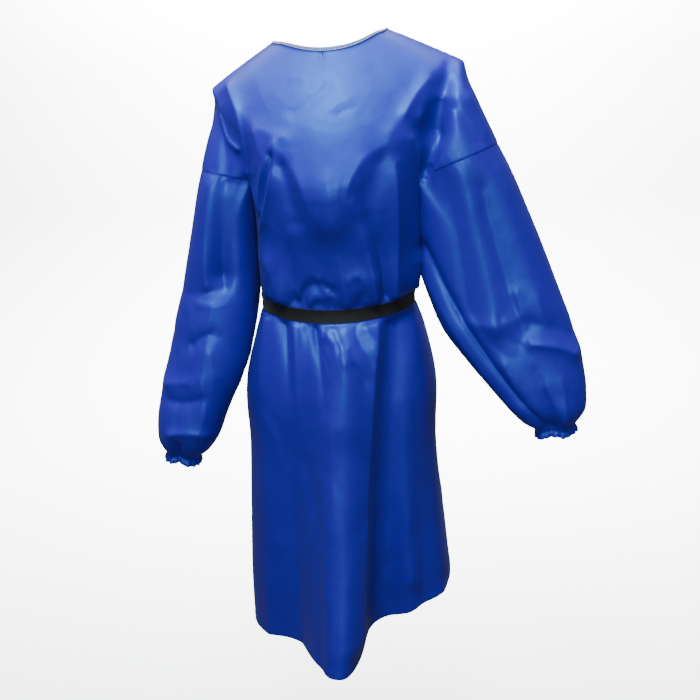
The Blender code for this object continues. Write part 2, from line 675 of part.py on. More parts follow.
def back_panels():
    """The two back halves, each from its overlap edge past the centre to its side seam, and their shares."""
    shares = column_shares()
    past = np.linspace(0.0, BACK_LAP, LAP_COLUMNS + 1)[1:]
    shares = np.unique(np.concatenate([shares, past]).round(9))
    in_lap = shares <= BACK_LAP + SMALLEST
    halves = {side: body_columns(side, BACK, shares) for side in (-1, 1)}
    places = np.concatenate([-shares[in_lap][::-1], shares[1:]])
    panels = {}
    for side in (-1, 1):
        grid = np.concatenate([halves[-side][in_lap][::-1], halves[side][1:]])
        normals = body_normals(grid)
        set_underarm_normals(normals, -1)
        panels[side] = (grid, normals)
    return panels, places


def lap_rise(places):
    """How far the upper back half stands off the lower one."""
    return (WALL + LAP_GAP) * (1 - smooth_step(LAP_LIFTED, LAP_SETTLED, places))


def build_front(grid, normals, material):
    """Front panel, drawn back from its side, armhole and shoulder seams."""
    outer = grid.copy()
    inner = grid - normals * WALL
    for layer in (outer, inner):
        inset_edge(layer, 0, True)
        inset_edge(layer, 0, False)
        inset_front_shoulders(layer)
    wall_object("front", outer, inner, material)


def build_back(name, grid, normals, places, material):
    """One back half, drawn back from its side, armhole and shoulder seams; its overlap edge is free."""
    outer = grid.copy()
    inner = outer - normals * WALL
    for layer in (outer, inner):
        inset_edge(layer, 0, False)
        inset_back_shoulder(layer, places)
    wall_object(name, outer, inner, material)


def inset_front_shoulders(layer):
    """Draw the front's shoulder seams back from the ridge, outside the neckline."""
    middle = layer.shape[0] // 2
    for column in range(layer.shape[0]):
        if abs(column - middle) >= NECK_COLUMNS:
            inset_top(layer, column)


def inset_back_shoulder(layer, places):
    """Draw a back half's shoulder seam back from the ridge, outside the neckline."""
    for column, place in enumerate(places):
        if place >= NECK_SHARE - SMALLEST:
            inset_top(layer, column)


def inset_top(layer, column):
    """Draw the top point of one column back along the column."""
    away = layer[column, 1] - layer[column, 0]
    layer[column, 0] += away / np.linalg.norm(away) * SEAM_INSET


def sleeve_grid(side, seams, seam_normals):
    """Rings from the armhole seam to the cuff, each round the front and back from the outer line."""
    rows = arm_rows(side)
    ends = sleeve_ends(side)
    form = sleeve_form(rows)
    crotch = UNDERARM.left if side > 0 else UNDERARM.right
    rings = [np.concatenate([seams[0], seams[1][::-1][1:]])]
    normals = [np.concatenate([seam_normals[0], seam_normals[1][::-1][1:]])]
    shares = [length_shares(seam) for seam in seams]
    even = np.linspace(0.0, 1.0, UNDERARM_ROW + 1)
    for row in range(1, SLEEVE_ROWS + 1):
        share = row / SLEEVE_ROWS
        settle = min(1.0, share / SLEEVE_SETTLED)
        top = side_point(side, ends.outer_top + (ends.outer_cuff - ends.outer_top) * share, 1, settle, form)
        bottom = side_point(side, crotch + (ends.inner_cuff - crotch) * share, -1, settle, form)
        halves = []
        for facing, seam_shares in zip((FRONT, BACK), shares):
            curve = fan(top, bottom, (top + bottom) / 2, facing, form)
            halves.append(spread(curve, seam_shares + (even - seam_shares) * settle))
        ring = np.concatenate([halves[0], halves[1][::-1][1:]])
        rings.append(ring)
        normals.append(outward(ring, form))
    return np.stack(rings, axis=1), np.stack(normals, axis=1)


def length_shares(curve):
    """Share of a curve's length at each of its points."""
    lengths = np.concatenate([[0.0], np.cumsum(np.linalg.norm(np.diff(curve, axis=0), axis=1))])
    return lengths / lengths[-1]


def side_point(side, height, outwards, settle, level):
    """Point on a sleeve's outer or inner line at a height."""
    middle, depth = arm_centre(side, np.array([height]))
    origin = np.array([[middle[0], depth[0] * settle, height]])
    return cast(origin, np.array([[side * outwards, 0.0, 0.0]]), level)[0]


def build_sleeve(name, grid, normals, material):
    """One sleeve, a tube from its armhole seam to its cuff seam."""
    outer = grid.copy()
    inner = grid - normals * WALL
    for layer in (outer, inner):
        inset_edge(layer, 1, True)
        inset_edge(layer, 1, False)
        layer[-1] = layer[0]
    wall_object(name, outer, inner, material, closed_across=True)


def build_cuff(name, sleeve, material):
    """Elastic casing: the sleeve's last ring carried on, gathered into waves that open into a ruffle."""
    last = sleeve[:, -1]
    before = sleeve[:, -2]
    middle = last[:-1].mean(axis=0)
    axis = middle - before[:-1].mean(axis=0)
    axis = axis / np.linalg.norm(axis)
    shares = np.linspace(0.0, 1.0, CUFF_COLUMNS + 1)
    ring = spread(last, shares)
    spokes = ring - middle
    spokes = spokes - axis * (spokes @ axis)[:, None]
    spokes = spokes / np.linalg.norm(spokes, axis=1)[:, None]
    outer = []
    inner = []
    for row in range(CUFF_ROWS + 1):
        share = row / CUFF_ROWS
        wave = CUFF_WAVE_HEIGHT * share * np.cos(2 * math.pi * CUFF_WAVES * shares)
        pinch = CUFF_PINCH * math.sin(math.pi * min(1.0, share / CUFF_PINCH_END))
        out = CUFF_FLARE * share**2 - pinch + wave
        place = ring + axis * (CUFF_LENGTH * share + 2 * SEAM_INSET) + spokes * out[:, None]
        outer.append(place)
        inner.append(place - spokes * WALL)
    for layer in (outer, inner):
        for points in layer:
            points[-1] = points[0]
    wall_object(name, np.stack(outer, axis=1), np.stack(inner, axis=1), material, closed_across=True)


def build_belt(front, left, right, places, material):
    """Webbing belt on the points of the panels under it, moved out."""
    rows = slice(BELT_ROW, BELT_ROW + BELT_ROWS + 1)
    left_part = places > BACK_LAP + SMALLEST
    grid = []
    away = []
    for (points, normals), columns in (
        (front, slice(None)),
        (left, np.flatnonzero(left_part)[::-1][1:]),
        (right, slice(None, -1)),
        (front, slice(0, 1)),
    ):
        grid.append(points[columns][:, rows])
        away.append(normals[columns][:, rows])
    grid = np.concatenate(grid)
    away = np.concatenate(away)
    inner = grid + away * BELT_GAP
    outer = inner + away * BELT_WALL
    wall_object("belt", outer, inner, material, closed_across=True)


def main():
    """Build every piece into the object's own collection."""
    for old in list(bpy.data.objects):
        bpy.data.objects.remove(old, do_unlink=True)
    collection = bpy.data.collections.new(OBJECT_NAME)
    bpy.context.scene.collection.children.link(collection)
    blue = (0.020, 0.075, 0.420)
    black = (0.010, 0.010, 0.012)

    def cloth(name):
        return finish(name + "_cloth", blue, 0.42)

    front = front_panel()
    backs, places = back_panels()
    left = backs[1]
    right_grid, right_normals = backs[-1]
    right = (right_grid + right_normals * lap_rise(places)[:, None, None], right_normals)
    build_front(*front, cloth("front"))
    build_back("back_left", *left, places, cloth("back_left"))
    build_back("back_right", *right, places, cloth("back_right"))
    for side, tail, back in ((1, "left", left), (-1, "right", right)):
        front_edge = -1 if side > 0 else 0
        seams = (front[0][front_edge, : UNDERARM_ROW + 1], back[0][-1, : UNDERARM_ROW + 1])
        seam_normals = (front[1][front_edge, : UNDERARM_ROW + 1], back[1][-1, : UNDERARM_ROW + 1])
        grid, normals = sleeve_grid(side, seams, seam_normals)
        build_sleeve("sleeve_" + tail, grid, normals, cloth("sleeve_" + tail))
        build_cuff("cuff_" + tail, grid, cloth("cuff_" + tail))
    build_belt(front, left, right, places, finish("belt_webbing", black, 0.75))


main()
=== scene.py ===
"""Isolation gown, hollow and filled out as if worn, dressed as coated cloth.

X runs to the wearer's left, the gown faces -Y and Z is up, all in metres. Tables of sizes give the body, the
sleeves and the slope of the shoulders. A coarse net is laid on that surface from seam to seam, read finely,
settled on the surface, and then moved in and out by folds, creases, gathers and seams.
"""
from __future__ import annotations

import logging
import math
import random
from dataclasses import dataclass, field
from enum import Enum
from typing import Callable

import bmesh
import bpy
import numpy as np
from mathutils import Matrix, Vector

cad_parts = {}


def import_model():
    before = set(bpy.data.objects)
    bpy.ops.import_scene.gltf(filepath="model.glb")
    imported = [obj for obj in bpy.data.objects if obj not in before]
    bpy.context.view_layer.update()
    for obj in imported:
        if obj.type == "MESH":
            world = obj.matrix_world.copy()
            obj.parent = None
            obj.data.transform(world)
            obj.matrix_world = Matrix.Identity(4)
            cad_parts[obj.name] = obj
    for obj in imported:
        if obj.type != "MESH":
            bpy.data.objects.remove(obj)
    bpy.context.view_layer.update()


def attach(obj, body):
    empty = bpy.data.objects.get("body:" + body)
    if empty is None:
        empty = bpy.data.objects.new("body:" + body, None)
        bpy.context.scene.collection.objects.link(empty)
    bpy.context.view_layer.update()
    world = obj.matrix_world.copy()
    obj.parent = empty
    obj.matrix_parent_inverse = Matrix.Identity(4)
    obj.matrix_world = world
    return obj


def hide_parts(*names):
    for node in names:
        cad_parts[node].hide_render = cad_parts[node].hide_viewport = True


log = logging.getLogger("isolation_gown")

MM = 0.001
TINY = 1e-9
SAME_POINT = 1e-6
INWARDS = -1.0
OUTWARDS = 1.0
# Readings beside a seam, in net steps
CLOSE_MARKS = (0.035, 0.075, 0.12)
# Places of a Mix node's share, its two colours and its result
MIX_SHARE, MIX_FIRST, MIX_SECOND, MIX_RESULT = 0, 6, 7, 2
Level = Callable[[np.ndarray], np.ndarray]


class Side(Enum):
    """Side of the wearer."""

    RIGHT = -1
    LEFT = 1


class Facing(Enum):
    """Front or back of the gown."""

    FRONT = -1
    BACK = 1


@dataclass(frozen=True)
class TorsoRow:
    """The body's oval at one height."""

    height: float
    centre: float
    half_width: float
    front: float
    back: float
    power: float


@dataclass(frozen=True)
class ArmRow:
    """A sleeve's oval at one height."""

    height: float
    outer: float
    inner: float
    front: float
    back: float


@dataclass(frozen=True)
class RidgeRow:
    """Height of the shoulder ridge at one place across."""

    across: float
    height: float


@dataclass(frozen=True)
class ConeRow:
    """The skirt's great front fold at one height."""

    height: float
    crest: float
    right_width: float
    left_width: float
    rise: float


@dataclass(frozen=True)
class Ring:
    """Heights of a ring round the body at the wearer's right, front, left and back."""

    right: float
    front: float
    left: float
    back: float

    def at_side(self, side: Side) -> float:
        """Height at one side."""
        return self.left if side is Side.LEFT else self.right

    def at_centre(self, facing: Facing) -> float:
        """Height at the front or back centre."""
        return self.back if facing is Facing.BACK else self.front

    def towards(self, other: Ring, share: float) -> Ring:
        """A ring part of the way to another.

        Args:
            other: the ring at share 1.
            share: part of the way, from 0 to 1.

        Returns:
            The ring between.
        """
        return Ring(
            self.right + (other.right - self.right) * share,
            self.front + (other.front - self.front) * share,
            self.left + (other.left - self.left) * share,
            self.back + (other.back - self.back) * share,
        )


@dataclass(frozen=True)
class SleeveEnds:
    """Heights of a sleeve's outer and inner line at its top and its cuff."""

    outer_top: float
    outer_cuff: float
    inner_cuff: float


@dataclass(frozen=True)
class Fold:
    """A soft ridge (rise above 0) or trough (below 0) along a bowed line in the front or back view.

    crisp is the power of its section: 2 is rounded, near 1 is a sharp crest. swell is added to the rise at
    the line's middle. widen is the width's factor at the line's end.
    """

    facing: Facing
    x0: float
    z0: float
    x1: float
    z1: float
    bow: float
    width: float
    rise0: float
    rise1: float
    crisp: float = 2.0
    swell: float = 0.0
    widen: float = 1.0


TORSO = (
    TorsoRow(0.100, 0.003, 0.212, 0.046, 0.045, 2.2),
    TorsoRow(0.040, 0.006, 0.222, 0.076, 0.070, 2.2),
    TorsoRow(0.000, 0.006, 0.220, 0.103, 0.098, 2.2),
    TorsoRow(-0.050, 0.005, 0.200, 0.136, 0.118, 2.3),
    TorsoRow(-0.100, 0.003, 0.175, 0.164, 0.127, 2.4),
    TorsoRow(-0.150, 0.002, 0.160, 0.177, 0.128, 2.4),
    TorsoRow(-0.220, 0.001, 0.153, 0.169, 0.124, 2.4),
    TorsoRow(-0.300, -0.001, 0.152, 0.148, 0.118, 2.4),
    TorsoRow(-0.370, -0.004, 0.151, 0.136, 0.113, 2.4),
    TorsoRow(-0.410, -0.006, 0.145, 0.127, 0.108, 2.3),
    TorsoRow(-0.455, -0.005, 0.160, 0.138, 0.118, 2.3),
    TorsoRow(-0.560, -0.007, 0.185, 0.150, 0.142, 2.3),
    TorsoRow(-0.700, -0.010, 0.187, 0.148, 0.160, 2.3),
    TorsoRow(-0.850, -0.009, 0.197, 0.142, 0.176, 2.4),
    TorsoRow(-1.000, -0.005, 0.209, 0.137, 0.186, 2.4),
    TorsoRow(-1.120, -0.001, 0.214, 0.132, 0.196, 2.4),
)
ARM_RIGHT = (
    ArmRow(0.080, -0.206, -0.110, -0.070, 0.076),
    ArmRow(-0.020, -0.220, -0.110, -0.086, 0.084),
    ArmRow(-0.120, -0.240, -0.128, -0.098, 0.084),
    ArmRow(-0.200, -0.260, -0.146, -0.100, 0.078),
    ArmRow(-0.280, -0.280, -0.153, -0.098, 0.072),
    ArmRow(-0.394, -0.312, -0.157, -0.102, 0.062),
    ArmRow(-0.452, -0.328, -0.168, -0.108, 0.054),
    ArmRow(-0.510, -0.342, -0.184, -0.116, 0.042),
    ArmRow(-0.569, -0.356, -0.208, -0.124, 0.026),
    ArmRow(-0.630, -0.366, -0.236, -0.130, 0.006),
    ArmRow(-0.668, -0.364, -0.253, -0.128, -0.012),
    ArmRow(-0.694, -0.356, -0.272, -0.116, -0.030),
    ArmRow(-0.712, -0.346, -0.286, -0.104, -0.042),
)
ARM_LEFT = (
    ArmRow(0.080, 0.215, 0.110, -0.070, 0.076),
    ArmRow(0.010, 0.234, 0.116, -0.084, 0.084),
    ArmRow(-0.060, 0.262, 0.126, -0.096, 0.084),
    ArmRow(-0.140, 0.302, 0.138, -0.102, 0.078),
    ArmRow(-0.193, 0.327, 0.143, -0.102, 0.070),
    ArmRow(-0.247, 0.350, 0.147, -0.100, 0.060),
    ArmRow(-0.320, 0.380, 0.152, -0.100, 0.046),
    ArmRow(-0.406, 0.413, 0.170, -0.104, 0.028),
    ArmRow(-0.463, 0.435, 0.193, -0.109, 0.016),
    ArmRow(-0.521, 0.450, 0.237, -0.115, 0.002),
    ArmRow(-0.580, 0.458, 0.287, -0.120, -0.012),
    ArmRow(-0.615, 0.456, 0.318, -0.120, -0.024),
    ArmRow(-0.640, 0.446, 0.344, -0.112, -0.036),
    ArmRow(-0.660, 0.434, 0.366, -0.104, -0.046),
)
ARMS = {Side.RIGHT: ARM_RIGHT, Side.LEFT: ARM_LEFT}
RIDGE = (
    RidgeRow(-0.300, -0.062),
    RidgeRow(-0.220, -0.010),
    RidgeRow(-0.180, 0.016),
    RidgeRow(-0.107, 0.060),
    RidgeRow(0.000, 0.106),
    RidgeRow(0.106, 0.074),
    RidgeRow(0.190, 0.038),
    RidgeRow(0.234, 0.018),
    RidgeRow(0.310, -0.016),
)
FRONT_CONE = (
    ConeRow(-0.430, 0.012, 0.060, 0.058, 0.004),
    ConeRow(-0.490, 0.008, 0.058, 0.050, 0.014),
    ConeRow(-0.560, 0.002, 0.058, 0.048, 0.022),
    ConeRow(-0.700, -0.003, 0.064, 0.048, 0.048),
    ConeRow(-0.900, -0.008, 0.074, 0.049, 0.094),
    ConeRow(-1.120, -0.016, 0.084, 0.050, 0.156),
)

ARMHOLE = Ring(-0.176, -0.170, -0.190, -0.180)
UNDERARM = Ring(-0.280, -0.270, -0.318, -0.285)
BELT_TOP = Ring(-0.390, -0.404, -0.390, -0.384)
BELT_BOTTOM = Ring(-0.414, -0.428, -0.414, -0.408)
HEM = Ring(-1.096, -1.070, -0.998, -1.060)
SLEEVE_ENDS = {
    Side.RIGHT: SleeveEnds(-0.152, -0.688, -0.706),
    Side.LEFT: SleeveEnds(-0.127, -0.643, -0.656),
}

F, B = Facing.FRONT, Facing.BACK
# Yoke, neck and the two points of the bust
CHEST_FOLDS = (
    Fold(F, -0.160, -0.046, -0.076, -0.100, -0.012, 0.016, 0.002, 0.003, 1.5),
    Fold(F, 0.104, -0.102, 0.166, -0.028, 0.000, 0.014, 0.003, 0.002, 1.5),
    Fold(F, -0.012, 0.034, -0.010, 0.008, 0.001, 0.004, -0.0020, -0.0004, 1.4),
    Fold(F, 0.003, -0.020, -0.056, -0.060, 0.004, 0.012, -0.0018, -0.0016, 1.6),
    Fold(F, -0.010, -0.016, -0.036, -0.032, 0.002, 0.005, 0.0006, 0.0004, 1.3),
    Fold(F, -0.062, -0.004, -0.040, -0.008, 0.002, 0.005, 0.0011, 0.0008, 1.3),
    Fold(F, 0.008, -0.058, 0.036, -0.044, 0.003, 0.005, 0.0012, 0.0008, 1.2),
    Fold(F, 0.020, -0.066, 0.044, -0.058, 0.002, 0.004, -0.0008, -0.0005, 1.3),
    Fold(F, 0.080, 0.006, 0.116, -0.036, 0.003, 0.016, -0.0012, -0.0008, 1.4),
    Fold(F, -0.126, 0.004, -0.100, -0.056, -0.004, 0.016, 0.0012, 0.0006, 1.4),
    Fold(F, -0.091, -0.108, -0.128, -0.226, -0.009, 0.007, 0.0025, 0.0030, 1.15, 0.0040),
    Fold(F, -0.090, -0.112, -0.135, -0.266, 0.006, 0.008, 0.0020, 0.0020, 1.15, 0.0050),
    Fold(F, -0.100, -0.130, -0.128, -0.240, -0.002, 0.007, -0.0110, -0.0050, 1.5),
    Fold(F, -0.127, -0.092, -0.134, -0.160, 0.008, 0.008, 0.0040, 0.0010, 1.2),
    Fold(F, -0.088, -0.116, -0.034, -0.226, 0.009, 0.012, 0.0010, 0.0010, 1.15, 0.0030),
    Fold(F, 0.102, -0.116, 0.028, -0.206, -0.017, 0.012, 0.0020, 0.0010, 1.15, 0.0030),
    Fold(F, 0.092, -0.150, 0.058, -0.240, -0.004, 0.026, -0.0110, -0.0060),
    Fold(F, -0.082, -0.150, -0.062, -0.240, 0.002, 0.016, -0.0100, -0.0060),
    Fold(F, -0.006, -0.204, -0.004, -0.240, 0.000, 0.032, 0.0100, 0.0080, 2.0),
)
# Body between the bust and the belt
WAIST_FOLDS = (
    Fold(F, 0.112, -0.150, 0.104, -0.388, 0.001, 0.011, 0.0080, 0.0120, 1.15),
    Fold(F, 0.038, -0.212, 0.071, -0.402, 0.007, 0.013, 0.0050, 0.0150, 1.15),
    Fold(F, 0.066, -0.240, 0.090, -0.402, 0.006, 0.012, -0.0040, -0.0190, 1.4),
    Fold(F, 0.138, -0.110, 0.140, -0.385, 0.006, 0.010, 0.0080, 0.0080, 1.15),
    Fold(F, -0.120, -0.318, -0.104, -0.382, 0.000, 0.020, 0.0110, 0.0140, 1.4),
    Fold(F, -0.066, -0.394, -0.002, -0.368, 0.026, 0.008, -0.0080, -0.0060, 1.4),
    Fold(F, -0.050, -0.394, -0.020, -0.380, 0.006, 0.010, 0.0080, 0.0050, 1.2),
    Fold(F, -0.078, -0.290, -0.080, -0.404, 0.003, 0.013, -0.0020, -0.0120, 1.4),
    Fold(F, 0.034, -0.404, 0.050, -0.372, 0.000, 0.010, -0.0080, -0.0020, 1.4),
    Fold(F, 0.006, -0.240, 0.022, -0.404, -0.003, 0.020, 0.0030, 0.0090, 1.2),
    Fold(F, -0.018, -0.230, -0.034, -0.390, 0.004, 0.016, 0.0000, -0.0060, 1.3),
)
# Both shoulders, where the sleeves fall in beside the body
SHOULDER_FOLDS = (
    Fold(F, -0.178, -0.014, -0.150, -0.158, 0.010, 0.008, 0.0060, 0.0070, 1.2),
    Fold(F, -0.150, -0.158, -0.124, -0.244, 0.000, 0.008, 0.0060, 0.0040, 1.2),
    Fold(F, -0.204, -0.040, -0.184, -0.170, 0.004, 0.022, -0.0100, -0.0060, 2.2, -0.0120),
    Fold(F, -0.206, -0.060, -0.165, -0.118, -0.006, 0.005, 0.0050, 0.0080, 1.15),
    Fold(F, -0.226, -0.046, -0.216, -0.150, 0.003, 0.018, -0.0080, -0.0080, 1.8),
    Fold(F, 0.207, 0.006, 0.176, -0.100, 0.004, 0.010, -0.0040, -0.0160, 2.2, 0.0, 2.4),
    Fold(F, 0.196, -0.030, 0.160, -0.172, 0.006, 0.024, -0.0140, -0.0170, 2.6, -0.0040, 0.42),
    Fold(F, 0.172, -0.016, 0.130, -0.070, -0.004, 0.009, 0.0040, 0.0050, 1.3),
    Fold(F, 0.156, -0.076, 0.151, -0.180, 0.000, 0.007, 0.0050, 0.0050, 1.2),
    Fold(F, 0.220, -0.030, 0.172, -0.158, 0.010, 0.006, 0.0010, 0.0050, 1.2),
    Fold(F, 0.216, -0.060, 0.256, -0.122, 0.002, 0.008, -0.0040, -0.0030, 1.3),
    Fold(F, 0.240, -0.050, 0.270, -0.108, 0.002, 0.016, 0.0050, 0.0030, 1.2),
)
SLEEVE_FOLDS = (
    Fold(F, -0.192, -0.180, -0.208, -0.340, 0.000, 0.022, -0.0080, -0.0180, 2.2),
    Fold(F, -0.300, -0.376, -0.206, -0.366, -0.004, 0.034, -0.0040, -0.0150, 1.1),
    Fold(F, -0.262, -0.392, -0.200, -0.392, -0.006, 0.010, 0.0030, 0.0020, 1.2),
    Fold(F, -0.220, -0.176, -0.242, -0.362, -0.006, 0.010, 0.0020, 0.0050, 1.2),
    Fold(F, -0.276, -0.470, -0.240, -0.450, 0.003, 0.012, -0.0090, -0.0060, 1.3),
    Fold(F, -0.332, -0.548, -0.286, -0.541, 0.003, 0.012, 0.0060, 0.0040, 1.2),
    Fold(F, -0.330, -0.576, -0.264, -0.572, -0.004, 0.012, -0.0060, -0.0060, 1.2),
    Fold(F, -0.328, -0.640, -0.268, -0.644, 0.005, 0.012, 0.0080, 0.0050, 1.2),
    Fold(F, -0.318, -0.664, -0.322, -0.712, 0.000, 0.009, -0.0120, -0.0060, 1.5),
    Fold(F, -0.232, -0.400, -0.262, -0.640, -0.008, 0.022, 0.0050, 0.0050, 1.15),
    Fold(F, -0.290, -0.420, -0.318, -0.620, 0.004, 0.018, -0.0030, -0.0040, 1.2),
    Fold(F, 0.158, -0.300, 0.379, -0.642, -0.018, 0.007, -0.0090, -0.0070, 1.3),
    Fold(F, 0.148, -0.330, 0.366, -0.654, -0.020, 0.011, 0.0060, 0.0050, 1.3),
    Fold(F, 0.348, -0.480, 0.428, -0.506, 0.006, 0.012, 0.0100, 0.0080, 1.2),
    Fold(F, 0.350, -0.444, 0.424, -0.470, 0.004, 0.018, -0.0060, -0.0040, 1.4),
    Fold(F, 0.356, -0.530, 0.392, -0.644, 0.003, 0.011, -0.0020, -0.0100, 1.5),
    Fold(F, 0.404, -0.550, 0.408, -0.660, 0.006, 0.013, 0.0040, 0.0060, 1.2),
    Fold(F, 0.196, -0.180, 0.236, -0.420, 0.004, 0.022, -0.0040, -0.0050, 1.3),
    Fold(F, 0.226, -0.170, 0.286, -0.450, 0.004, 0.022, 0.0040, 0.0060, 1.7),
    Fold(F, 0.262, -0.200, 0.344, -0.480, -0.006, 0.020, -0.0060, -0.0070, 1.3),
    Fold(F, 0.288, -0.180, 0.372, -0.440, 0.004, 0.022, 0.0030, 0.0050, 1.7),
    Fold(F, 0.240, -0.440, 0.330, -0.430, -0.010, 0.022, 0.0060, 0.0040, 1.3),
    Fold(F, 0.300, -0.520, 0.340, -0.600, 0.000, 0.016, 0.0050, 0.0030, 1.2),
)
SKIRT_FOLDS = (
    Fold(F, 0.074, -0.428, 0.022, -1.020, -0.005, 0.016, 0.0100, 0.0160, 1.15, 0.000, 1.6),
    Fold(F, 0.106, -0.436, 0.072, -1.060, -0.004, 0.026, -0.0150, -0.0300, 2.2, 0.000, 1.3),
    Fold(F, -0.042, -0.428, -0.022, -0.575, 0.002, 0.009, -0.0110, -0.0030, 1.3),
    Fold(F, 0.014, -0.500, 0.006, -0.600, 0.000, 0.042, 0.0150, 0.0110, 1.7),
    Fold(F, -0.016, -0.560, -0.018, -0.800, 0.002, 0.020, 0.0040, 0.0030, 1.2),
    Fold(F, -0.130, -0.426, -0.152, -0.560, -0.004, 0.016, 0.0110, 0.0030, 1.2),
    Fold(F, -0.100, -0.426, -0.094, -0.560, 0.002, 0.009, -0.0150, -0.0020, 1.4),
    Fold(F, -0.076, -0.426, -0.078, -0.600, 0.000, 0.014, 0.0080, 0.0020, 1.2),
    Fold(F, -0.052, -0.600, -0.058, -1.100, 0.000, 0.026, -0.0030, -0.0120, 1.3),
    Fold(F, 0.124, -0.560, 0.124, -0.960, -0.006, 0.022, 0.0000, 0.0080, 1.3),
    Fold(F, 0.158, -0.520, 0.186, -1.070, 0.000, 0.018, 0.0000, 0.0090, 1.2),
    Fold(F, 0.140, -0.520, 0.150, -1.060, 0.000, 0.018, 0.0000, -0.0080, 1.6),
    Fold(F, -0.150, -0.600, -0.165, -1.110, 0.000, 0.028, 0.0000, 0.0120, 1.2),
    Fold(F, -0.098, -0.580, -0.110, -1.110, 0.003, 0.026, 0.0000, -0.0140, 1.3),
)
BACK_FOLDS = (
    Fold(B, -0.125, -0.100, -0.118, -0.370, 0.006, 0.020, 0.007, 0.008),
    Fold(B, 0.120, -0.110, 0.112, -0.375, -0.006, 0.020, 0.007, 0.008),
    Fold(B, -0.060, -0.220, -0.070, -0.400, 0.000, 0.012, -0.003, -0.008, 1.6),
    Fold(B, 0.062, -0.200, 0.068, -0.400, 0.000, 0.012, -0.003, -0.008, 1.6),
    Fold(B, 0.182, -0.020, 0.165, -0.200, -0.006, 0.015, -0.009, -0.009),
    Fold(B, -0.182, -0.040, -0.160, -0.200, 0.006, 0.015, -0.009, -0.009),
    Fold(B, -0.105, -0.430, -0.150, -1.090, 0.000, 0.034, 0.006, 0.026, 1.7),
    Fold(B, 0.112, -0.430, 0.148, -1.080, 0.000, 0.034, 0.006, 0.024, 1.7),
    Fold(B, -0.020, -0.440, -0.030, -1.090, 0.000, 0.036, 0.003, 0.022, 1.7),
    Fold(B, -0.072, -0.440, -0.092, -1.090, 0.000, 0.022, -0.006, -0.014),
    Fold(B, 0.060, -0.440, 0.066, -1.090, 0.000, 0.024, -0.006, -0.014),
    Fold(B, -0.240, -0.220, -0.262, -0.420, 0.016, 0.026, -0.012, -0.010),
    Fold(B, 0.262, -0.220, 0.330, -0.480, 0.010, 0.026, -0.012, -0.010),
    Fold(B, -0.318, -0.640, -0.322, -0.716, 0.000, 0.013, -0.006, -0.006),
    Fold(B, 0.384, -0.560, 0.402, -0.670, 0.006, 0.015, -0.007, -0.007),
)


class Profile:
    """A table of rows that is read smoothly, one field at a time."""

    def __init__(self, rows: tuple, key: str) -> None:
        """Sort the rows by their key field.

        Args:
            rows: the table.
            key: the field that the table is read by.
        """
        self.rows = sorted(rows, key=lambda row: getattr(row, key))
        self.knots = np.array([getattr(row, key) for row in self.rows])
        self.columns: dict[str, tuple[np.ndarray, np.ndarray]] = {}

    def read(self, column: str, at: np.ndarray) -> np.ndarray:
        """One field at given keys, cubic between the rows.

        Args:
            column: the field.
            at: values of the key.

        Returns:
            The field's values.
        """
        if column not in self.columns:
            values = np.array([getattr(row, column) for row in self.rows])
            self.columns[column] = (values, np.gradient(values, self.knots))
        values, slopes = self.columns[column]
        at = np.clip(at, self.knots[0], self.knots[-1])
        place = np.clip(np.searchsorted(self.knots, at) - 1, 0, len(self.knots) - 2)
        step = self.knots[place + 1] - self.knots[place]
        t = (at - self.knots[place]) / step
        start = (2 * t**3 - 3 * t**2 + 1) * values[place] + (t**3 - 2 * t**2 + t) * step * slopes[place]
        end = (3 * t**2 - 2 * t**3) * values[place + 1] + (t**3 - t**2) * step * slopes[place + 1]
        return start + end


def smooth_step(low: float, high: float, at: np.ndarray) -> np.ndarray:
    """0 below low, 1 above high and a soft rise between.

    Args:
        low: where the rise starts.
        high: where it ends.
        at: values to read.

    Returns:
        The share at each value.
    """
    t = np.clip((at - low) / (high - low), 0.0, 1.0)
    return t * t * (3 - 2 * t)


def blend_low(a: np.ndarray, b: np.ndarray, width: np.ndarray | float) -> np.ndarray:
    """The lower of two levels with a soft corner of a given width."""
    share = np.clip(0.5 + 0.5 * (b - a) / width, 0.0, 1.0)
    return b + (a - b) * share - width * share * (1 - share)


def lengths_along(points: np.ndarray, axis: int) -> np.ndarray:
    """Running length of a grid's lines along one of its axes, starting at 0."""
    steps = np.linalg.norm(np.diff(points, axis=axis), axis=2)
    shape = list(steps.shape)
    shape[axis] = 1
    return np.concatenate([np.zeros(shape), np.cumsum(steps, axis=axis)], axis=axis)


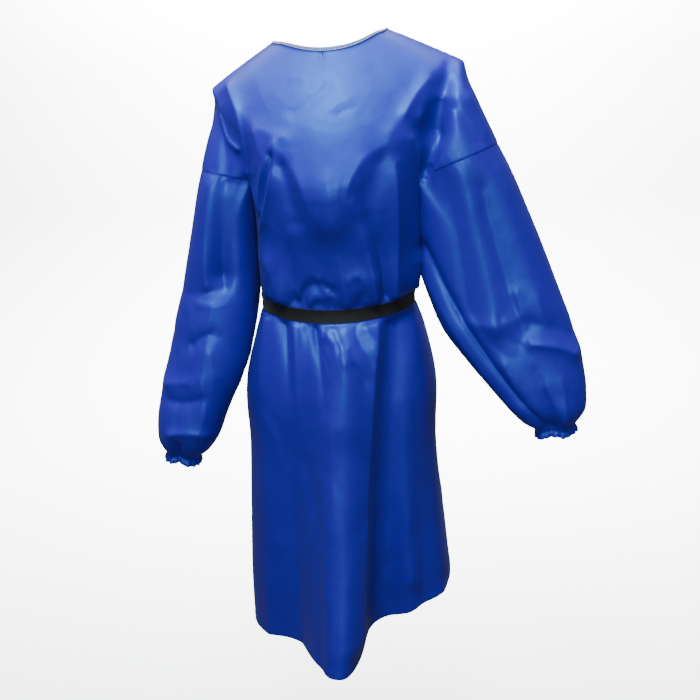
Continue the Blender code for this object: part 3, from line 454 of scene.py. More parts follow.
@dataclass
class GownForm:
    """The gown's smooth surface, as levels that are below 0 inside it."""

    arm_blend: float = 0.026
    least_blend: float = 0.001
    blend_rise: float = 0.13
    roof_blend: float = 0.030
    roof_roundness: float = 0.060
    roof_steepness: float = 0.85
    tip_blend: float = 0.006
    tip_inner_x: float = 0.15
    tip_outer_x: float = 0.20
    sleeve_power: float = 2.3
    cone_power: float = 2.5
    cone_top: float = -0.40
    cone_full: float = -0.45
    cone_back_edge: float = -0.06
    ray_reach: float = 0.42
    ray_steps: int = 56
    halvings: int = 12
    normal_step: float = 0.6 * MM
    settle_reach: float = 6 * MM
    settle_rounds: int = 2
    least_slope: float = 0.3
    torso: Profile = field(default_factory=lambda: Profile(TORSO, "height"))
    ridge: Profile = field(default_factory=lambda: Profile(RIDGE, "across"))
    cone: Profile = field(default_factory=lambda: Profile(FRONT_CONE, "height"))
    arms: dict[Side, Profile] = field(
        default_factory=lambda: {side: Profile(rows, "height") for side, rows in ARMS.items()}
    )

    @staticmethod
    def oval(
        dx: np.ndarray, dy: np.ndarray, width: np.ndarray, depth: np.ndarray, power: np.ndarray | float
    ) -> np.ndarray:
        """Distance along the ray from an oval's centre, below 0 inside it.

        Args:
            dx: distance from the centre across.
            dy: distance from the centre in depth.
            width: half width.
            depth: half depth.
            power: 2 for an ellipse, more for squarer corners.

        Returns:
            The level.
        """
        dx = dx + TINY
        ratio = ((np.abs(dx) / width) ** power + (np.abs(dy) / depth) ** power) ** (1 / power)
        reach = np.hypot(dx, dy)
        return reach - reach / ratio

    def torso_level(self, points: np.ndarray) -> np.ndarray:
        """The body without sleeves, with the skirt's great front fold."""
        x, y, z = points.T
        half_depth = np.where(y < 0, self.torso.read("front", z), self.torso.read("back", z))
        from_centre = x - self.torso.read("centre", z)
        half_width, power = self.torso.read("half_width", z), self.torso.read("power", z)
        level = self.oval(from_centre, y, half_width, half_depth, power)
        crest = self.cone.read("crest", z)
        width = np.where(x < crest, self.cone.read("right_width", z), self.cone.read("left_width", z))
        rise = self.cone.read("rise", z) * smooth_step(self.cone_top, self.cone_full, z)
        section = np.exp(-np.abs((x - crest) / width) ** self.cone_power)
        return level - rise * section * smooth_step(0.0, self.cone_back_edge, y)

    def arm_level(self, points: np.ndarray, side: Side) -> np.ndarray:
        """One sleeve as a stack of ovals."""
        x, y, z = points.T
        rows = self.arms[side]
        outer, inner = rows.read("outer", z), rows.read("inner", z)
        front, back = rows.read("front", z), rows.read("back", z)
        middle_x, middle_y = (outer + inner) / 2, (front + back) / 2
        half_width, half_depth = np.abs(outer - inner) / 2, (back - front) / 2
        return self.oval(x - middle_x, y - middle_y, half_width, half_depth, self.sleeve_power)

    def sleeve(self, side: Side) -> Level:
        """The level of one sleeve alone."""
        return lambda points: self.arm_level(points, side)

    def arm_centre(self, side: Side, height: float) -> tuple[float, float]:
        """Middle of a sleeve's oval across and in depth."""
        rows = self.arms[side]
        at = np.array([height])
        across = (rows.read("outer", at) + rows.read("inner", at)) / 2
        depth = (rows.read("front", at) + rows.read("back", at)) / 2
        return float(across[0]), float(depth[0])

    def torso_centre(self, heights: np.ndarray) -> np.ndarray:
        """Middle of the body across at given heights."""
        return self.torso.read("centre", heights)

    def roof_level(self, points: np.ndarray) -> np.ndarray:
        """Slope of the shoulders, rounded over the ridge."""
        x, y, z = points.T
        return (z - self.ridge.read("height", x) + y * y / (2 * self.roof_roundness)) * self.roof_steepness

    def gown_level(self, points: np.ndarray) -> np.ndarray:
        """Body and sleeves joined and cut by the slope of the shoulders."""
        z = points[:, 2]
        level = self.torso_level(points)
        for side in Side:
            crotch = UNDERARM.at_side(side)
            width = self.least_blend + self.arm_blend * smooth_step(crotch, crotch + self.blend_rise, z)
            level = blend_low(level, self.arm_level(points, side), width)
        sharp = smooth_step(self.tip_inner_x, self.tip_outer_x, np.abs(points[:, 0]))
        width = self.roof_blend + (self.tip_blend - self.roof_blend) * sharp
        return -blend_low(-level, -self.roof_level(points), width)

    def cast(self, origins: np.ndarray, directions: np.ndarray, level: Level) -> np.ndarray:
        """First point on each ray where a level rises through 0.

        Args:
            origins: start of each ray, inside the gown.
            directions: direction of each ray.
            level: the surface that is looked for.

        Returns:
            One point for each ray.
        """
        directions = directions / np.linalg.norm(directions, axis=1)[:, None]
        marks = np.linspace(0.0, self.ray_reach, self.ray_steps)
        samples = origins[:, None, :] + directions[:, None, :] * marks[None, :, None]
        values = level(samples.reshape(-1, 3)).reshape(len(origins), -1)
        crossed = (values[:, 1:] > 0) & (values[:, :-1] <= 0)
        found = np.argmax(crossed, axis=1)
        low, high = marks[found], marks[found + 1]
        for _ in range(self.halvings):
            middle = (low + high) / 2
            outside = level(origins + directions * middle[:, None]) > 0
            high = np.where(outside, middle, high)
            low = np.where(outside, low, middle)
        return origins + directions * low[:, None]

    def slope(self, points: np.ndarray, level: Level) -> np.ndarray:
        """Gradient of a level at each point."""
        parts = []
        for axis in range(3):
            shift = np.zeros(3)
            shift[axis] = self.normal_step
            parts.append((level(points + shift) - level(points - shift)) / (2 * self.normal_step))
        return np.stack(parts, axis=1)

    def settle(self, points: np.ndarray, level: Level, share: np.ndarray | float = 1.0) -> np.ndarray:
        """Move points along the slope until they lie on a level's surface.

        Args:
            points: points near the surface.
            level: the surface.
            share: how much of each move is made.

        Returns:
            The moved points.
        """
        for _ in range(self.settle_rounds):
            slope = self.slope(points, level)
            size = np.maximum(np.linalg.norm(slope, axis=1), self.least_slope)
            move = np.clip(-level(points) / size, -self.settle_reach, self.settle_reach) * share
            points = points + slope / size[:, None] * move[:, None]
        return points


def on_curve(curve: np.ndarray, shares: np.ndarray) -> np.ndarray:
    """Points at given shares of a curve's length."""
    steps = np.linalg.norm(np.diff(curve, axis=0), axis=1)
    lengths = np.concatenate([[0.0], np.cumsum(steps)])
    wanted = np.asarray(shares) * lengths[-1]
    return np.stack([np.interp(wanted, lengths, curve[:, axis]) for axis in range(3)], axis=1)


def without_jumps(curve: np.ndarray, limit: float) -> np.ndarray:
    """A curve less the samples that slipped past a crease; its ends stay."""
    kept = [0]
    for place in range(1, len(curve) - 1):
        if np.linalg.norm(curve[place] - curve[kept[-1]]) <= limit * (place - kept[-1]):
            kept.append(place)
    return curve[kept + [len(curve) - 1]]


@dataclass
class GownNet:
    """Coarse nets of points on the gown's surface, laid from seam to seam."""

    form: GownForm
    neck_columns: int = 5
    shoulder_columns: int = 9
    upper_rows: int = 9
    crease_rows: int = 4
    waist_rows: int = 3
    belt_rows: int = 2
    skirt_rows: int = 13
    sleeve_rows: int = 16
    samples: int = 48
    jump: float = 0.011
    inner_share: float = 0.97
    lean_power: int = 3
    skirt_power: float = 1.15
    sleeve_settled: float = 0.25
    neck_half_width: float = 0.105
    neck_front_depth: float = 0.072
    neck_back_depth: float = 0.066
    neck_ray_z: float = -0.10
    shoulder_fan_x: float = 0.135
    shoulder_fan_z: float = -0.15

    @property
    def columns(self) -> int:
        """Columns from the centre to a side."""
        return self.neck_columns + self.shoulder_columns

    @property
    def underarm_row(self) -> int:
        """Row of the underarm."""
        return self.upper_rows + self.crease_rows

    @property
    def belt_row(self) -> int:
        """Row of the belt's top edge."""
        return self.underarm_row + self.waist_rows

    @property
    def hem_row(self) -> int:
        """Row of the hem."""
        return self.belt_row + self.belt_rows + self.skirt_rows

    def rays(self, side: Side, facing: Facing, angle: np.ndarray, heights: np.ndarray) -> tuple:
        """Level rays from the body's centre line, turned from the front or back centre to a side."""
        origins = np.stack([self.form.torso_centre(heights), np.zeros_like(angle), heights], axis=1)
        across, depth = side.value * np.sin(angle), facing.value * np.cos(angle)
        return origins, np.stack([across, depth, np.zeros_like(angle)], axis=1)

    def ring_heights(self, ring: Ring, side: Side, facing: Facing, angle: np.ndarray) -> np.ndarray:
        """Height of a ring at each angle from the centre to a side."""
        at_side, at_centre = ring.at_side(side), ring.at_centre(facing)
        return at_side + (at_centre - at_side) * np.cos(angle) ** 2

    def body_ring(self, ring: Ring, side: Side, facing: Facing) -> np.ndarray:
        """Dense curve on the body from its centre to its side seam."""
        angle = np.linspace(0.0, math.pi / 2, self.samples)
        rays = self.rays(side, facing, angle, self.ring_heights(ring, side, facing, angle))
        return self.form.cast(*rays, self.form.torso_level)

    def lower_rings(self) -> list[Ring]:
        """Rings from the underarm to the hem."""
        rings = [UNDERARM.towards(BELT_TOP, row / self.waist_rows) for row in range(self.waist_rows)]
        rings += [BELT_TOP.towards(BELT_BOTTOM, row / self.belt_rows) for row in range(self.belt_rows)]
        shares = [(row / self.skirt_rows) ** self.skirt_power for row in range(self.skirt_rows + 1)]
        return rings + [BELT_BOTTOM.towards(HEM, share) for share in shares]

    def crease_rings(self) -> list[Ring]:
        """Rings from where the sleeve's seam enters its crease down to the underarm."""
        return [ARMHOLE.towards(UNDERARM, row / self.crease_rows) for row in range(self.crease_rows)]

    def armhole_top(self, side: Side) -> np.ndarray:
        """Where the shoulder seam meets the sleeve's seam."""
        height = SLEEVE_ENDS[side].outer_top
        origin = np.array([[self.form.arm_centre(side, height)[0], 0.0, height]])
        return self.form.cast(origin, np.array([[side.value, 0.0, 0.0]]), self.form.gown_level)[0]

    def top_points(self, side: Side, facing: Facing) -> np.ndarray:
        """Points of the neckline and then the shoulder seam, one for each column."""
        angle = np.linspace(0.0, math.pi / 2, self.samples)
        depth = self.neck_back_depth if facing is Facing.BACK else self.neck_front_depth
        plan_x = side.value * self.neck_half_width * np.sin(angle)
        plan_y = facing.value * depth * np.cos(angle)
        origins = np.stack([plan_x, plan_y, np.full_like(angle, self.neck_ray_z)], axis=1)
        neck = self.form.cast(origins, np.tile([0.0, 0.0, 1.0], (self.samples, 1)), self.form.gown_level)
        start = np.array([side.value * self.shoulder_fan_x, 0.0, self.shoulder_fan_z])
        first, last = neck[-1] - start, self.armhole_top(side) - start
        first_turn = math.atan2(first[2], side.value * first[0])
        last_turn = math.atan2(last[2], side.value * last[0])
        turn = np.linspace(first_turn, last_turn, self.samples)
        directions = np.stack([side.value * np.cos(turn), np.zeros_like(turn), np.sin(turn)], axis=1)
        shoulder = self.form.cast(np.tile(start, (self.samples, 1)), directions, self.form.gown_level)
        on_neck = on_curve(neck, np.linspace(0.0, 1.0, self.neck_columns + 1))
        on_shoulder = on_curve(shoulder, np.linspace(0.0, 1.0, self.shoulder_columns + 1))
        return np.concatenate([on_neck, on_shoulder[1:]])

    def fan(
        self, top: np.ndarray, bottom: np.ndarray, centre: np.ndarray, facing: Facing, level: Level
    ) -> np.ndarray:
        """Dense curve on a surface from top to bottom, round the front or back of a centre.

        Args:
            top: first point.
            bottom: last point.
            centre: where the rays start.
            facing: which way round the centre.
            level: the surface.

        Returns:
            The curve's points.
        """
        first = (top - centre) / np.linalg.norm(top - centre)
        across = np.array([0.0, facing.value, 0.0])
        across = across - first * np.dot(across, first)
        across = across / np.linalg.norm(across)
        last = bottom - centre
        end = math.atan2(np.dot(last, across), np.dot(last, first)) % (2 * math.pi)
        rest = last - first * np.dot(last, first) - across * np.dot(last, across)
        rest = rest / np.linalg.norm(last)
        turn = np.linspace(0.0, end, self.samples)[:, None]
        directions = np.cos(turn) * first + np.sin(turn) * across + rest * (turn / end) ** self.lean_power
        curve = self.form.cast(np.tile(centre, (self.samples, 1)), directions, level)
        curve[0], curve[-1] = top, bottom
        return without_jumps(curve, self.jump)

    def crease_point(self, ring: Ring, side: Side, facing: Facing) -> np.ndarray:
        """Point of the valley between body and sleeve on one ring."""
        angle = np.linspace(math.pi / 2, 0.0, self.samples)
        height = ring.at_side(side)
        rays = self.rays(side, facing, angle, np.full_like(angle, height))
        curve = self.form.cast(*rays, self.form.torso_level)
        apart = self.form.arm_level(curve, side)
        place = int(np.argmax(apart > 0))
        across = curve[0, 0]
        if place > 0:
            share = apart[place - 1] / (apart[place - 1] - apart[place])
            across = curve[place - 1, 0] + (curve[place, 0] - curve[place - 1, 0]) * share
        origin = np.array([[across, 0.0, height]])
        return self.form.cast(origin, np.array([[0.0, facing.value, 0.0]]), self.form.gown_level)[0]

    def crease_ring(self, ring: Ring, side: Side, facing: Facing) -> np.ndarray:
        """Dense curve on the body from its centre to the valley beside the sleeve."""
        end_point = self.crease_point(ring, side, facing)
        centre = self.form.torso_centre(end_point[2:])[0]
        end_angle = math.atan2(abs(end_point[0] - centre), abs(end_point[1]))
        share = np.linspace(0.0, 1.0, self.samples)
        heights = self.ring_heights(ring, side, facing, share * math.pi / 2)
        curve = self.form.cast(*self.rays(side, facing, share * end_angle, heights), self.form.gown_level)
        curve[-1] = end_point
        return without_jumps(curve, self.jump)

    def half(self, side: Side, facing: Facing) -> np.ndarray:
        """Net of a quarter of the body, columns from the centre to the side and rows from top to hem."""
        shares = np.linspace(0.0, 1.0, self.columns + 1)
        rings = [on_curve(self.crease_ring(ring, side, facing), shares) for ring in self.crease_rings()]
        rings += [on_curve(self.body_ring(ring, side, facing), shares) for ring in self.lower_rings()]
        columns = []
        for place, top in enumerate(self.top_points(side, facing)):
            bottom = rings[0][place]
            centre = np.array([bottom[0] * self.inner_share, 0.0, (top[2] + bottom[2]) / 2])
            curve = self.fan(top, bottom, centre, facing, self.form.gown_level)
            upper = on_curve(curve, np.linspace(0.0, 1.0, self.upper_rows + 1))
            columns.append(np.concatenate([upper, np.stack([ring[place] for ring in rings[1:]])]))
        return np.stack(columns)

    def side_point(self, side: Side, height: float, outwards: int, settled: float) -> np.ndarray:
        """Point on a sleeve's outer or inner line at a height."""
        middle, depth = self.form.arm_centre(side, height)
        origin = np.array([[middle, depth * settled, height]])
        direction = np.array([[side.value * outwards, 0.0, 0.0]])
        return self.form.cast(origin, direction, self.form.sleeve(side))[0]

    def sleeve(self, side: Side, front_seam: np.ndarray, back_seam: np.ndarray) -> np.ndarray:
        """Net of one sleeve, rings from its seam to its cuff, each round the front and then the back.

        Args:
            side: which sleeve.
            front_seam: the front panel's armhole points from the shoulder to the underarm.
            back_seam: the back panel's.

        Returns:
            The net; its first and last column are the same.
        """
        ends, crotch = SLEEVE_ENDS[side], UNDERARM.at_side(side)
        rings = [np.concatenate([front_seam, back_seam[::-1][1:]])]
        even = np.linspace(0.0, 1.0, self.underarm_row + 1)
        for row in range(1, self.sleeve_rows + 1):
            share = row / self.sleeve_rows
            settled = min(1.0, share / self.sleeve_settled)
            top_height = ends.outer_top + (ends.outer_cuff - ends.outer_top) * share
            top = self.side_point(side, top_height, 1, settled)
            bottom = self.side_point(side, crotch + (ends.inner_cuff - crotch) * share, -1, settled)
            halves = []
            for facing, seam in ((Facing.FRONT, front_seam), (Facing.BACK, back_seam)):
                steps = np.linalg.norm(np.diff(seam, axis=0), axis=1)
                seam_shares = np.concatenate([[0.0], np.cumsum(steps)]) / steps.sum()
                curve = self.fan(top, bottom, (top + bottom) / 2, facing, self.form.sleeve(side))
                halves.append(on_curve(curve, seam_shares + (even - seam_shares) * settled))
            rings.append(np.concatenate([halves[0], halves[1][::-1][1:]]))
        return np.stack(rings, axis=1)


def reading_marks(first: float, last: float, times: int, near_first: bool, near_last: bool) -> np.ndarray:
    """Places at which a net is read, closer together beside a seam.

    Args:
        first: first place, in net steps.
        last: last place.
        times: readings for each net step.
        near_first: whether to read finely beside the first place.
        near_last: whether to read finely beside the last place.

    Returns:
        The places in order.
    """
    close = np.array(CLOSE_MARKS)
    inner = np.arange(math.ceil(first * times + 0.5), math.floor(last * times - 0.5) + 1) / times
    parts = [np.array([first, last]), inner]
    if near_first:
        parts.append(first + close)
    if near_last:
        parts.append(last - close)
    return np.unique(np.concatenate(parts).round(6))


def reading_weights(count: int, marks: np.ndarray, closed: bool) -> np.ndarray:
    """Matrix that reads a line of net points smoothly, through every point.

    Args:
        count: points on the line.
        marks: places to read.
        closed: whether the line's last point is its first.

    Returns:
        One row for each mark, one column for each point.
    """
    matrix = np.zeros((len(marks), count))
    for row, mark in enumerate(marks):
        start = min(int(mark), count - 2)
        t = mark - start
        weights = (
            -0.5 * t + t**2 - 0.5 * t**3,
            1 - 2.5 * t**2 + 1.5 * t**3,
            0.5 * t + 2 * t**2 - 1.5 * t**3,
            -0.5 * t**2 + 0.5 * t**3,
        )
        for offset, weight in zip((-1, 0, 1, 2), weights):
            place = start + offset
            if closed:
                matrix[row, place % (count - 1)] += weight
            elif place < 0:
                matrix[row, 0] += 2 * weight
                matrix[row, 1] -= weight
            elif place > count - 1:
                matrix[row, -1] += 2 * weight
                matrix[row, -2] -= weight
            else:
                matrix[row, place] += weight
    return matrix


@dataclass
class Cloth:
    """A finely read net: points on the smooth surface, their normals and the places they were read at."""

    points: np.ndarray
    normals: np.ndarray
    across_marks: np.ndarray
    along_marks: np.ndarray
    rise: np.ndarray

    @property
    def placed(self) -> np.ndarray:
        """Points moved out by their rise."""
        return self.points + self.normals * self.rise[:, :, None]


@dataclass
class ClothReader:
    """Reads nets finely and settles them on the gown's surface."""

    form: GownForm
    net: GownNet
    times: int = 7
    seam_fade: float = 1.5
    settled_from: float = 0.5
    settled_full: float = 2.0

    def body_marks(self) -> np.ndarray:
        """Places along the body, fine beside the top edge and the hem."""
        return reading_marks(0.0, self.net.hem_row, self.times, True, True)

    def normals(self, points: np.ndarray, level: Level) -> np.ndarray:
        """Unit normals of a surface at a grid of points."""
        slope = self.form.slope(points.reshape(-1, 3), level)
        return (slope / np.linalg.norm(slope, axis=1)[:, None]).reshape(points.shape)

    def body(self, net: np.ndarray, across_marks: np.ndarray) -> Cloth:
        """One body panel.

        Args:
            net: the panel's net.
            across_marks: places to read across.

        Returns:
            The panel as fine cloth with no rise yet.
        """
        along = self.body_marks()
        points = np.einsum("ai,ijk->ajk", reading_weights(net.shape[0], across_marks, False), net)
        points = np.einsum("bj,ajk->abk", reading_weights(net.shape[1], along, False), points)
        normals = np.empty_like(points)
        upper = along < self.net.underarm_row - TINY
        for rows, level in ((upper, self.form.gown_level), (~upper, self.form.torso_level)):
            part = points[:, rows]
            settled = self.form.settle(part.reshape(-1, 3), level).reshape(part.shape)
            points[:, rows] = settled
            normals[:, rows] = self.normals(settled, level)
        return Cloth(points, normals, across_marks, along, np.zeros(points.shape[:2]))

    def sleeve(self, side: Side, net: np.ndarray, seam: np.ndarray, seam_normals: np.ndarray) -> Cloth:
        """One sleeve whose first ring is the panels' own seam.

        Args:
            side: which sleeve.
            net: the sleeve's net.
            seam: the panels' fine seam points, round the armhole.
            seam_normals: their normals.

        Returns:
            The sleeve as fine cloth with no rise yet.
        """
        count = self.net.underarm_row
        half = self.body_marks()
        half = half[half <= count + TINY]
        across = np.concatenate([half, (2 * count - half[::-1])[1:]])
        along = reading_marks(0.0, self.net.sleeve_rows, self.times, True, False)
        points = np.einsum("ai,ijk->ajk", reading_weights(net.shape[0], across, True), net)
        points = np.einsum("bj,ajk->abk", reading_weights(net.shape[1], along, False), points)
        fade = np.clip(1 - along / self.seam_fade, 0.0, 1.0) ** 2
        points += (seam - points[:, 0])[:, None, :] * fade[None, :, None]
        settled = smooth_step(self.settled_from, self.settled_full, along)
        share = np.tile(settled, (points.shape[0], 1)).reshape(-1)
        level = self.form.sleeve(side)
        points = self.form.settle(points.reshape(-1, 3), level, share).reshape(points.shape)
        points[:, 0] = seam
        normals = self.normals(points, level)
        normals += (seam_normals - normals[:, 0])[:, None, :] * fade[None, :, None]
        normals /= np.linalg.norm(normals, axis=2)[:, :, None]
        return Cloth(points, normals, across, along, np.zeros(points.shape[:2]))


@dataclass
class Folds:
    """Adds up folds and creases over a cloth's points."""

    folds: tuple[Fold, ...]
    side_from: float = -0.02
    side_full: float = 0.03

    def rise(self, points: np.ndarray) -> np.ndarray:
        """How far the folds push the cloth out.

        Args:
            points: a grid of points on the smooth surface.

        Returns:
            The rise at each point.
        """
        x, y, z = points[..., 0], points[..., 1], points[..., 2]
        total = np.zeros(x.shape)
        for fold in self.folds:
            length = math.hypot(fold.x1 - fold.x0, fold.z1 - fold.z0)
            dir_x, dir_z = (fold.x1 - fold.x0) / length, (fold.z1 - fold.z0) / length
            t = np.clip(((x - fold.x0) * dir_x + (z - fold.z0) * dir_z) / length, 0.0, 1.0)
            bend = fold.bow * 4 * t * (1 - t)
            off_x = x - (fold.x0 + dir_x * length * t - dir_z * bend)
            off_z = z - (fold.z0 + dir_z * length * t + dir_x * bend)
            apart = np.hypot(off_x, off_z) / (fold.width * (1 + (fold.widen - 1) * t))
            near = np.exp(-(apart**fold.crisp))
            shown = smooth_step(self.side_from, self.side_full, y * fold.facing.value)
            height = fold.rise0 + (fold.rise1 - fold.rise0) * t + fold.swell * 4 * t * (1 - t)
            total += height * near * shown
        return total


@dataclass
class Scatter:
    """A patch of small creases, uneven in length, depth and spacing, that run one way."""

    facing: Facing
    left: float
    right: float
    low: float
    high: float
    run_x: float
    run_z: float
    count: int
    width: float
    rise: float
    seed: int

    def creases(self) -> tuple[Fold, ...]:
        """The patch's creases."""
        rng = random.Random(self.seed)
        made = []
        for place in range(self.count):
            x = self.left + (self.right - self.left) * (place + rng.uniform(0.1, 0.9)) / self.count
            z = rng.uniform(self.low, self.high)
            size = rng.uniform(0.5, 1.2)
            turn_x = rng.uniform(-0.25, 0.25) * abs(self.run_z) + self.run_x * size
            turn_z = rng.uniform(-0.25, 0.25) * abs(self.run_x) + self.run_z * size
            rise = self.rise * rng.uniform(0.4, 1.0) * rng.choice((-1.0, 1.0, 1.0))
            width = self.width * rng.uniform(0.6, 1.3)
            end = rise * rng.uniform(0.1, 0.9)
            bow = rng.uniform(-0.12, 0.12) * math.hypot(self.run_x, self.run_z)
            made.append(Fold(self.facing, x, z, x + turn_x, z + turn_z, bow, width, rise, end, 1.2))
        return tuple(made)


SMALL_CREASES = (
    Scatter(F, -0.340, -0.180, -0.600, -0.400, 0.010, -0.090, 11, 0.014, 0.0034, 3),
    Scatter(F, 0.240, 0.430, -0.600, -0.380, 0.040, -0.070, 10, 0.014, 0.0030, 5),
    Scatter(F, 0.180, 0.330, -0.340, -0.160, 0.030, -0.100, 8, 0.018, 0.0014, 7),
    Scatter(F, -0.034, 0.064, -0.500, -0.436, 0.014, -0.036, 12, 0.007, 0.0055, 23),
    Scatter(F, -0.120, 0.110, -0.396, -0.340, 0.012, -0.034, 12, 0.008, 0.0050, 25),
    Scatter(F, -0.110, 0.110, -0.090, 0.000, 0.034, -0.016, 9, 0.010, 0.0005, 27),
    Scatter(F, -0.120, 0.110, -0.300, -0.160, 0.010, -0.080, 9, 0.014, 0.0020, 29),
    Scatter(F, -0.160, 0.150, -0.700, -0.480, 0.004, -0.140, 10, 0.016, 0.0026, 9),
    Scatter(F, -0.180, 0.190, -0.980, -0.740, 0.010, -0.180, 9, 0.022, 0.0030, 11),
    Scatter(B, -0.110, 0.110, -0.340, -0.060, 0.010, -0.100, 12, 0.014, 0.0030, 13),
    Scatter(B, -0.170, 0.170, -0.760, -0.480, 0.006, -0.160, 13, 0.016, 0.0034, 15),
    Scatter(B, -0.190, 0.190, -1.000, -0.740, 0.008, -0.170, 10, 0.022, 0.0034, 17),
    Scatter(B, -0.350, -0.190, -0.640, -0.240, 0.008, -0.090, 11, 0.014, 0.0034, 19),
    Scatter(B, 0.190, 0.440, -0.600, -0.200, 0.044, -0.080, 13, 0.014, 0.0034, 21),
)


class Value:
    """A material's number, with operators that add the nodes for them."""

    def __init__(self, tree: bpy.types.NodeTree, socket: bpy.types.NodeSocket) -> None:
        """Wrap a socket.

        Args:
            tree: the material's node tree.
            socket: an output socket.
        """
        self.tree = tree
        self.socket = socket

    def _math(self, operation: str, first: Value | float, second: Value | float) -> Value:
        """One Math node."""
        node = self.tree.nodes.new("ShaderNodeMath")
        node.operation = operation
        for place, value in enumerate((first, second)):
            if isinstance(value, Value):
                self.tree.links.new(value.socket, node.inputs[place])
            else:
                node.inputs[place].default_value = value
        return Value(self.tree, node.outputs[0])

    def __add__(self, other: Value | float) -> Value:
        """Sum."""
        return self._math("ADD", self, other)

    def __radd__(self, other: float) -> Value:
        """Sum with the number first."""
        return self._math("ADD", other, self)

    def __mul__(self, other: Value | float) -> Value:
        """Product."""
        return self._math("MULTIPLY", self, other)

    def __rmul__(self, other: float) -> Value:
        """Product with the number first."""
        return self._math("MULTIPLY", other, self)

    def sine(self) -> Value:
        """Sine in radians."""
        return self._math("SINE", self, 0.0)


class Shader:
    """One material and the ways its nodes are added."""

    def __init__(self, name: str) -> None:
        """Start a material with only its Principled shader.

        Args:
            name: the material's name.
        """
        self.material = bpy.data.materials.new(name)
        self.material.use_nodes = True
        self.tree = self.material.node_tree
        self.principled = self.tree.nodes["Principled BSDF"]

    def node(self, kind: str, settings: dict, values: dict) -> bpy.types.Node:
        """Add a node.

        Args:
            kind: the node's type.
            settings: its settings, which are made first.
            values: numbers, or links from other sockets, by input name.

        Returns:
            The node.
        """
        node = self.tree.nodes.new(kind)
        for key, value in settings.items():
            setattr(node, key, value)
        for key, value in values.items():
            if isinstance(value, Value):
                self.tree.links.new(value.socket, node.inputs[key])
            elif isinstance(value, bpy.types.NodeSocket):
                self.tree.links.new(value, node.inputs[key])
            else:
                node.inputs[key].default_value = value
        return node

    def number(self, kind: str, settings: dict, values: dict, output: str) -> Value:
        """Add a node and wrap one of its outputs as a number."""
        return Value(self.tree, self.node(kind, settings, values).outputs[output])

    def place(self, uv: bool) -> bpy.types.NodeSocket:
        """The piece's own UV map, in metres, or its Object coordinates."""
        return self.node("ShaderNodeTexCoord", {}, {}).outputs["UV" if uv else "Object"]

    def noise(self, place: bpy.types.NodeSocket, scale: float, detail: float) -> Value:
        """Noise read at a place."""
        values = {"Vector": place, "Scale": scale, "Detail": detail}
        return self.number("ShaderNodeTexNoise", {}, values, "Fac")

    def mix(self, share: Value, first: tuple, second: tuple) -> bpy.types.NodeSocket:
        """A colour between two, by a share."""
        node = self.node("ShaderNodeMix", {"data_type": "RGBA"}, {MIX_SHARE: share})
        node.inputs[MIX_FIRST].default_value = (*first, 1.0)
        node.inputs[MIX_SECOND].default_value = (*second, 1.0)
        return node.outputs[MIX_RESULT]

    def waves(self, flat: bpy.types.NodeSocket, pace_x: float, pace_y: float) -> tuple[Value, Value]:
        """Sines that run along the two directions of a UV map."""
        parts = self.node("ShaderNodeSeparateXYZ", {}, {"Vector": flat})
        along = (Value(self.tree, parts.outputs["X"]) * pace_x).sine()
        up = (Value(self.tree, parts.outputs["Y"]) * pace_y).sine()
        return along, up

    def finish(
        self, colour: object, roughness: object, height: Value | None, relief: float, constants: dict
    ) -> None:
        """Fill the Principled shader.

        Args:
            colour: a colour or a socket.
            roughness: a number or a Value.
            height: what the bump follows, in metres.
            relief: the bump's strength.
            constants: other inputs by name.
        """
        for key, value in {"Base Color": colour, "Roughness": roughness, **constants}.items():
            if isinstance(value, Value):
                self.tree.links.new(value.socket, self.principled.inputs[key])
            elif isinstance(value, bpy.types.NodeSocket):
                self.tree.links.new(value, self.principled.inputs[key])
            elif isinstance(value, tuple):
                self.principled.inputs[key].default_value = (*value, 1.0)
            else:
                self.principled.inputs[key].default_value = value
        if height is not None:
            bump = self.node("ShaderNodeBump", {}, {"Strength": relief, "Distance": 1.0, "Height": height})
            self.tree.links.new(bump.outputs["Normal"], self.principled.inputs["Normal"])


@dataclass(frozen=True)
class ClothFinish:
    """Coated blue polyamide cloth, half glossy, with a fine plain weave."""

    name: str = "blue_coated_cloth"
    deep: tuple[float, float, float] = (0.0160, 0.0060, 0.205)
    light: tuple[float, float, float] = (0.0240, 0.0110, 0.315)
    broad_scale: float = 7.0
    broad_share: float = 0.7
    fine_scale: float = 70.0
    fine_share: float = 0.3
    roughness: float = 0.42
    roughness_spread: float = 0.10
    gloss: float = 0.95
    gloss_tint: tuple[float, float, float] = (0.10, 0.42, 1.0)
    crumple_scale: float = 15.0
    crumple_relief: float = 1.4 * MM
    crinkle_scale: float = 38.0
    crinkle_relief: float = 0.34 * MM
    thread: float = 0.7 * MM
    thread_relief: float = 0.012 * MM
    sheen: float = 0.02
    sheen_roughness: float = 0.45
    sheen_tint: tuple[float, float, float] = (0.55, 0.72, 1.0)

    def material(self) -> bpy.types.Material:
        """Build the material."""
        shader = Shader(self.name)
        place, flat = shader.place(False), shader.place(True)
        broad = shader.noise(place, self.broad_scale, 3.0)
        fine = shader.noise(place, self.fine_scale, 4.0)
        crinkle = shader.noise(place, self.crinkle_scale, 2.0)
        colour = shader.mix(broad * self.broad_share + fine * self.fine_share, self.deep, self.light)
        turn = 2 * math.pi / self.thread
        warp, weft = shader.waves(flat, turn, turn)
        crumple = shader.noise(place, self.crumple_scale, 3.0)
        height = warp * weft * self.thread_relief + crinkle * self.crinkle_relief
        height = height + crumple * self.crumple_relief
        roughness = fine * self.roughness_spread + (self.roughness - self.roughness_spread / 2)
        constants = {
            "Sheen Weight": self.sheen,
            "Sheen Roughness": self.sheen_roughness,
            "Sheen Tint": self.sheen_tint,
            "Specular IOR Level": self.gloss,
            "Specular Tint": self.gloss_tint,
        }
        shader.finish(colour, roughness, height, 1.0, constants)
        return shader.material


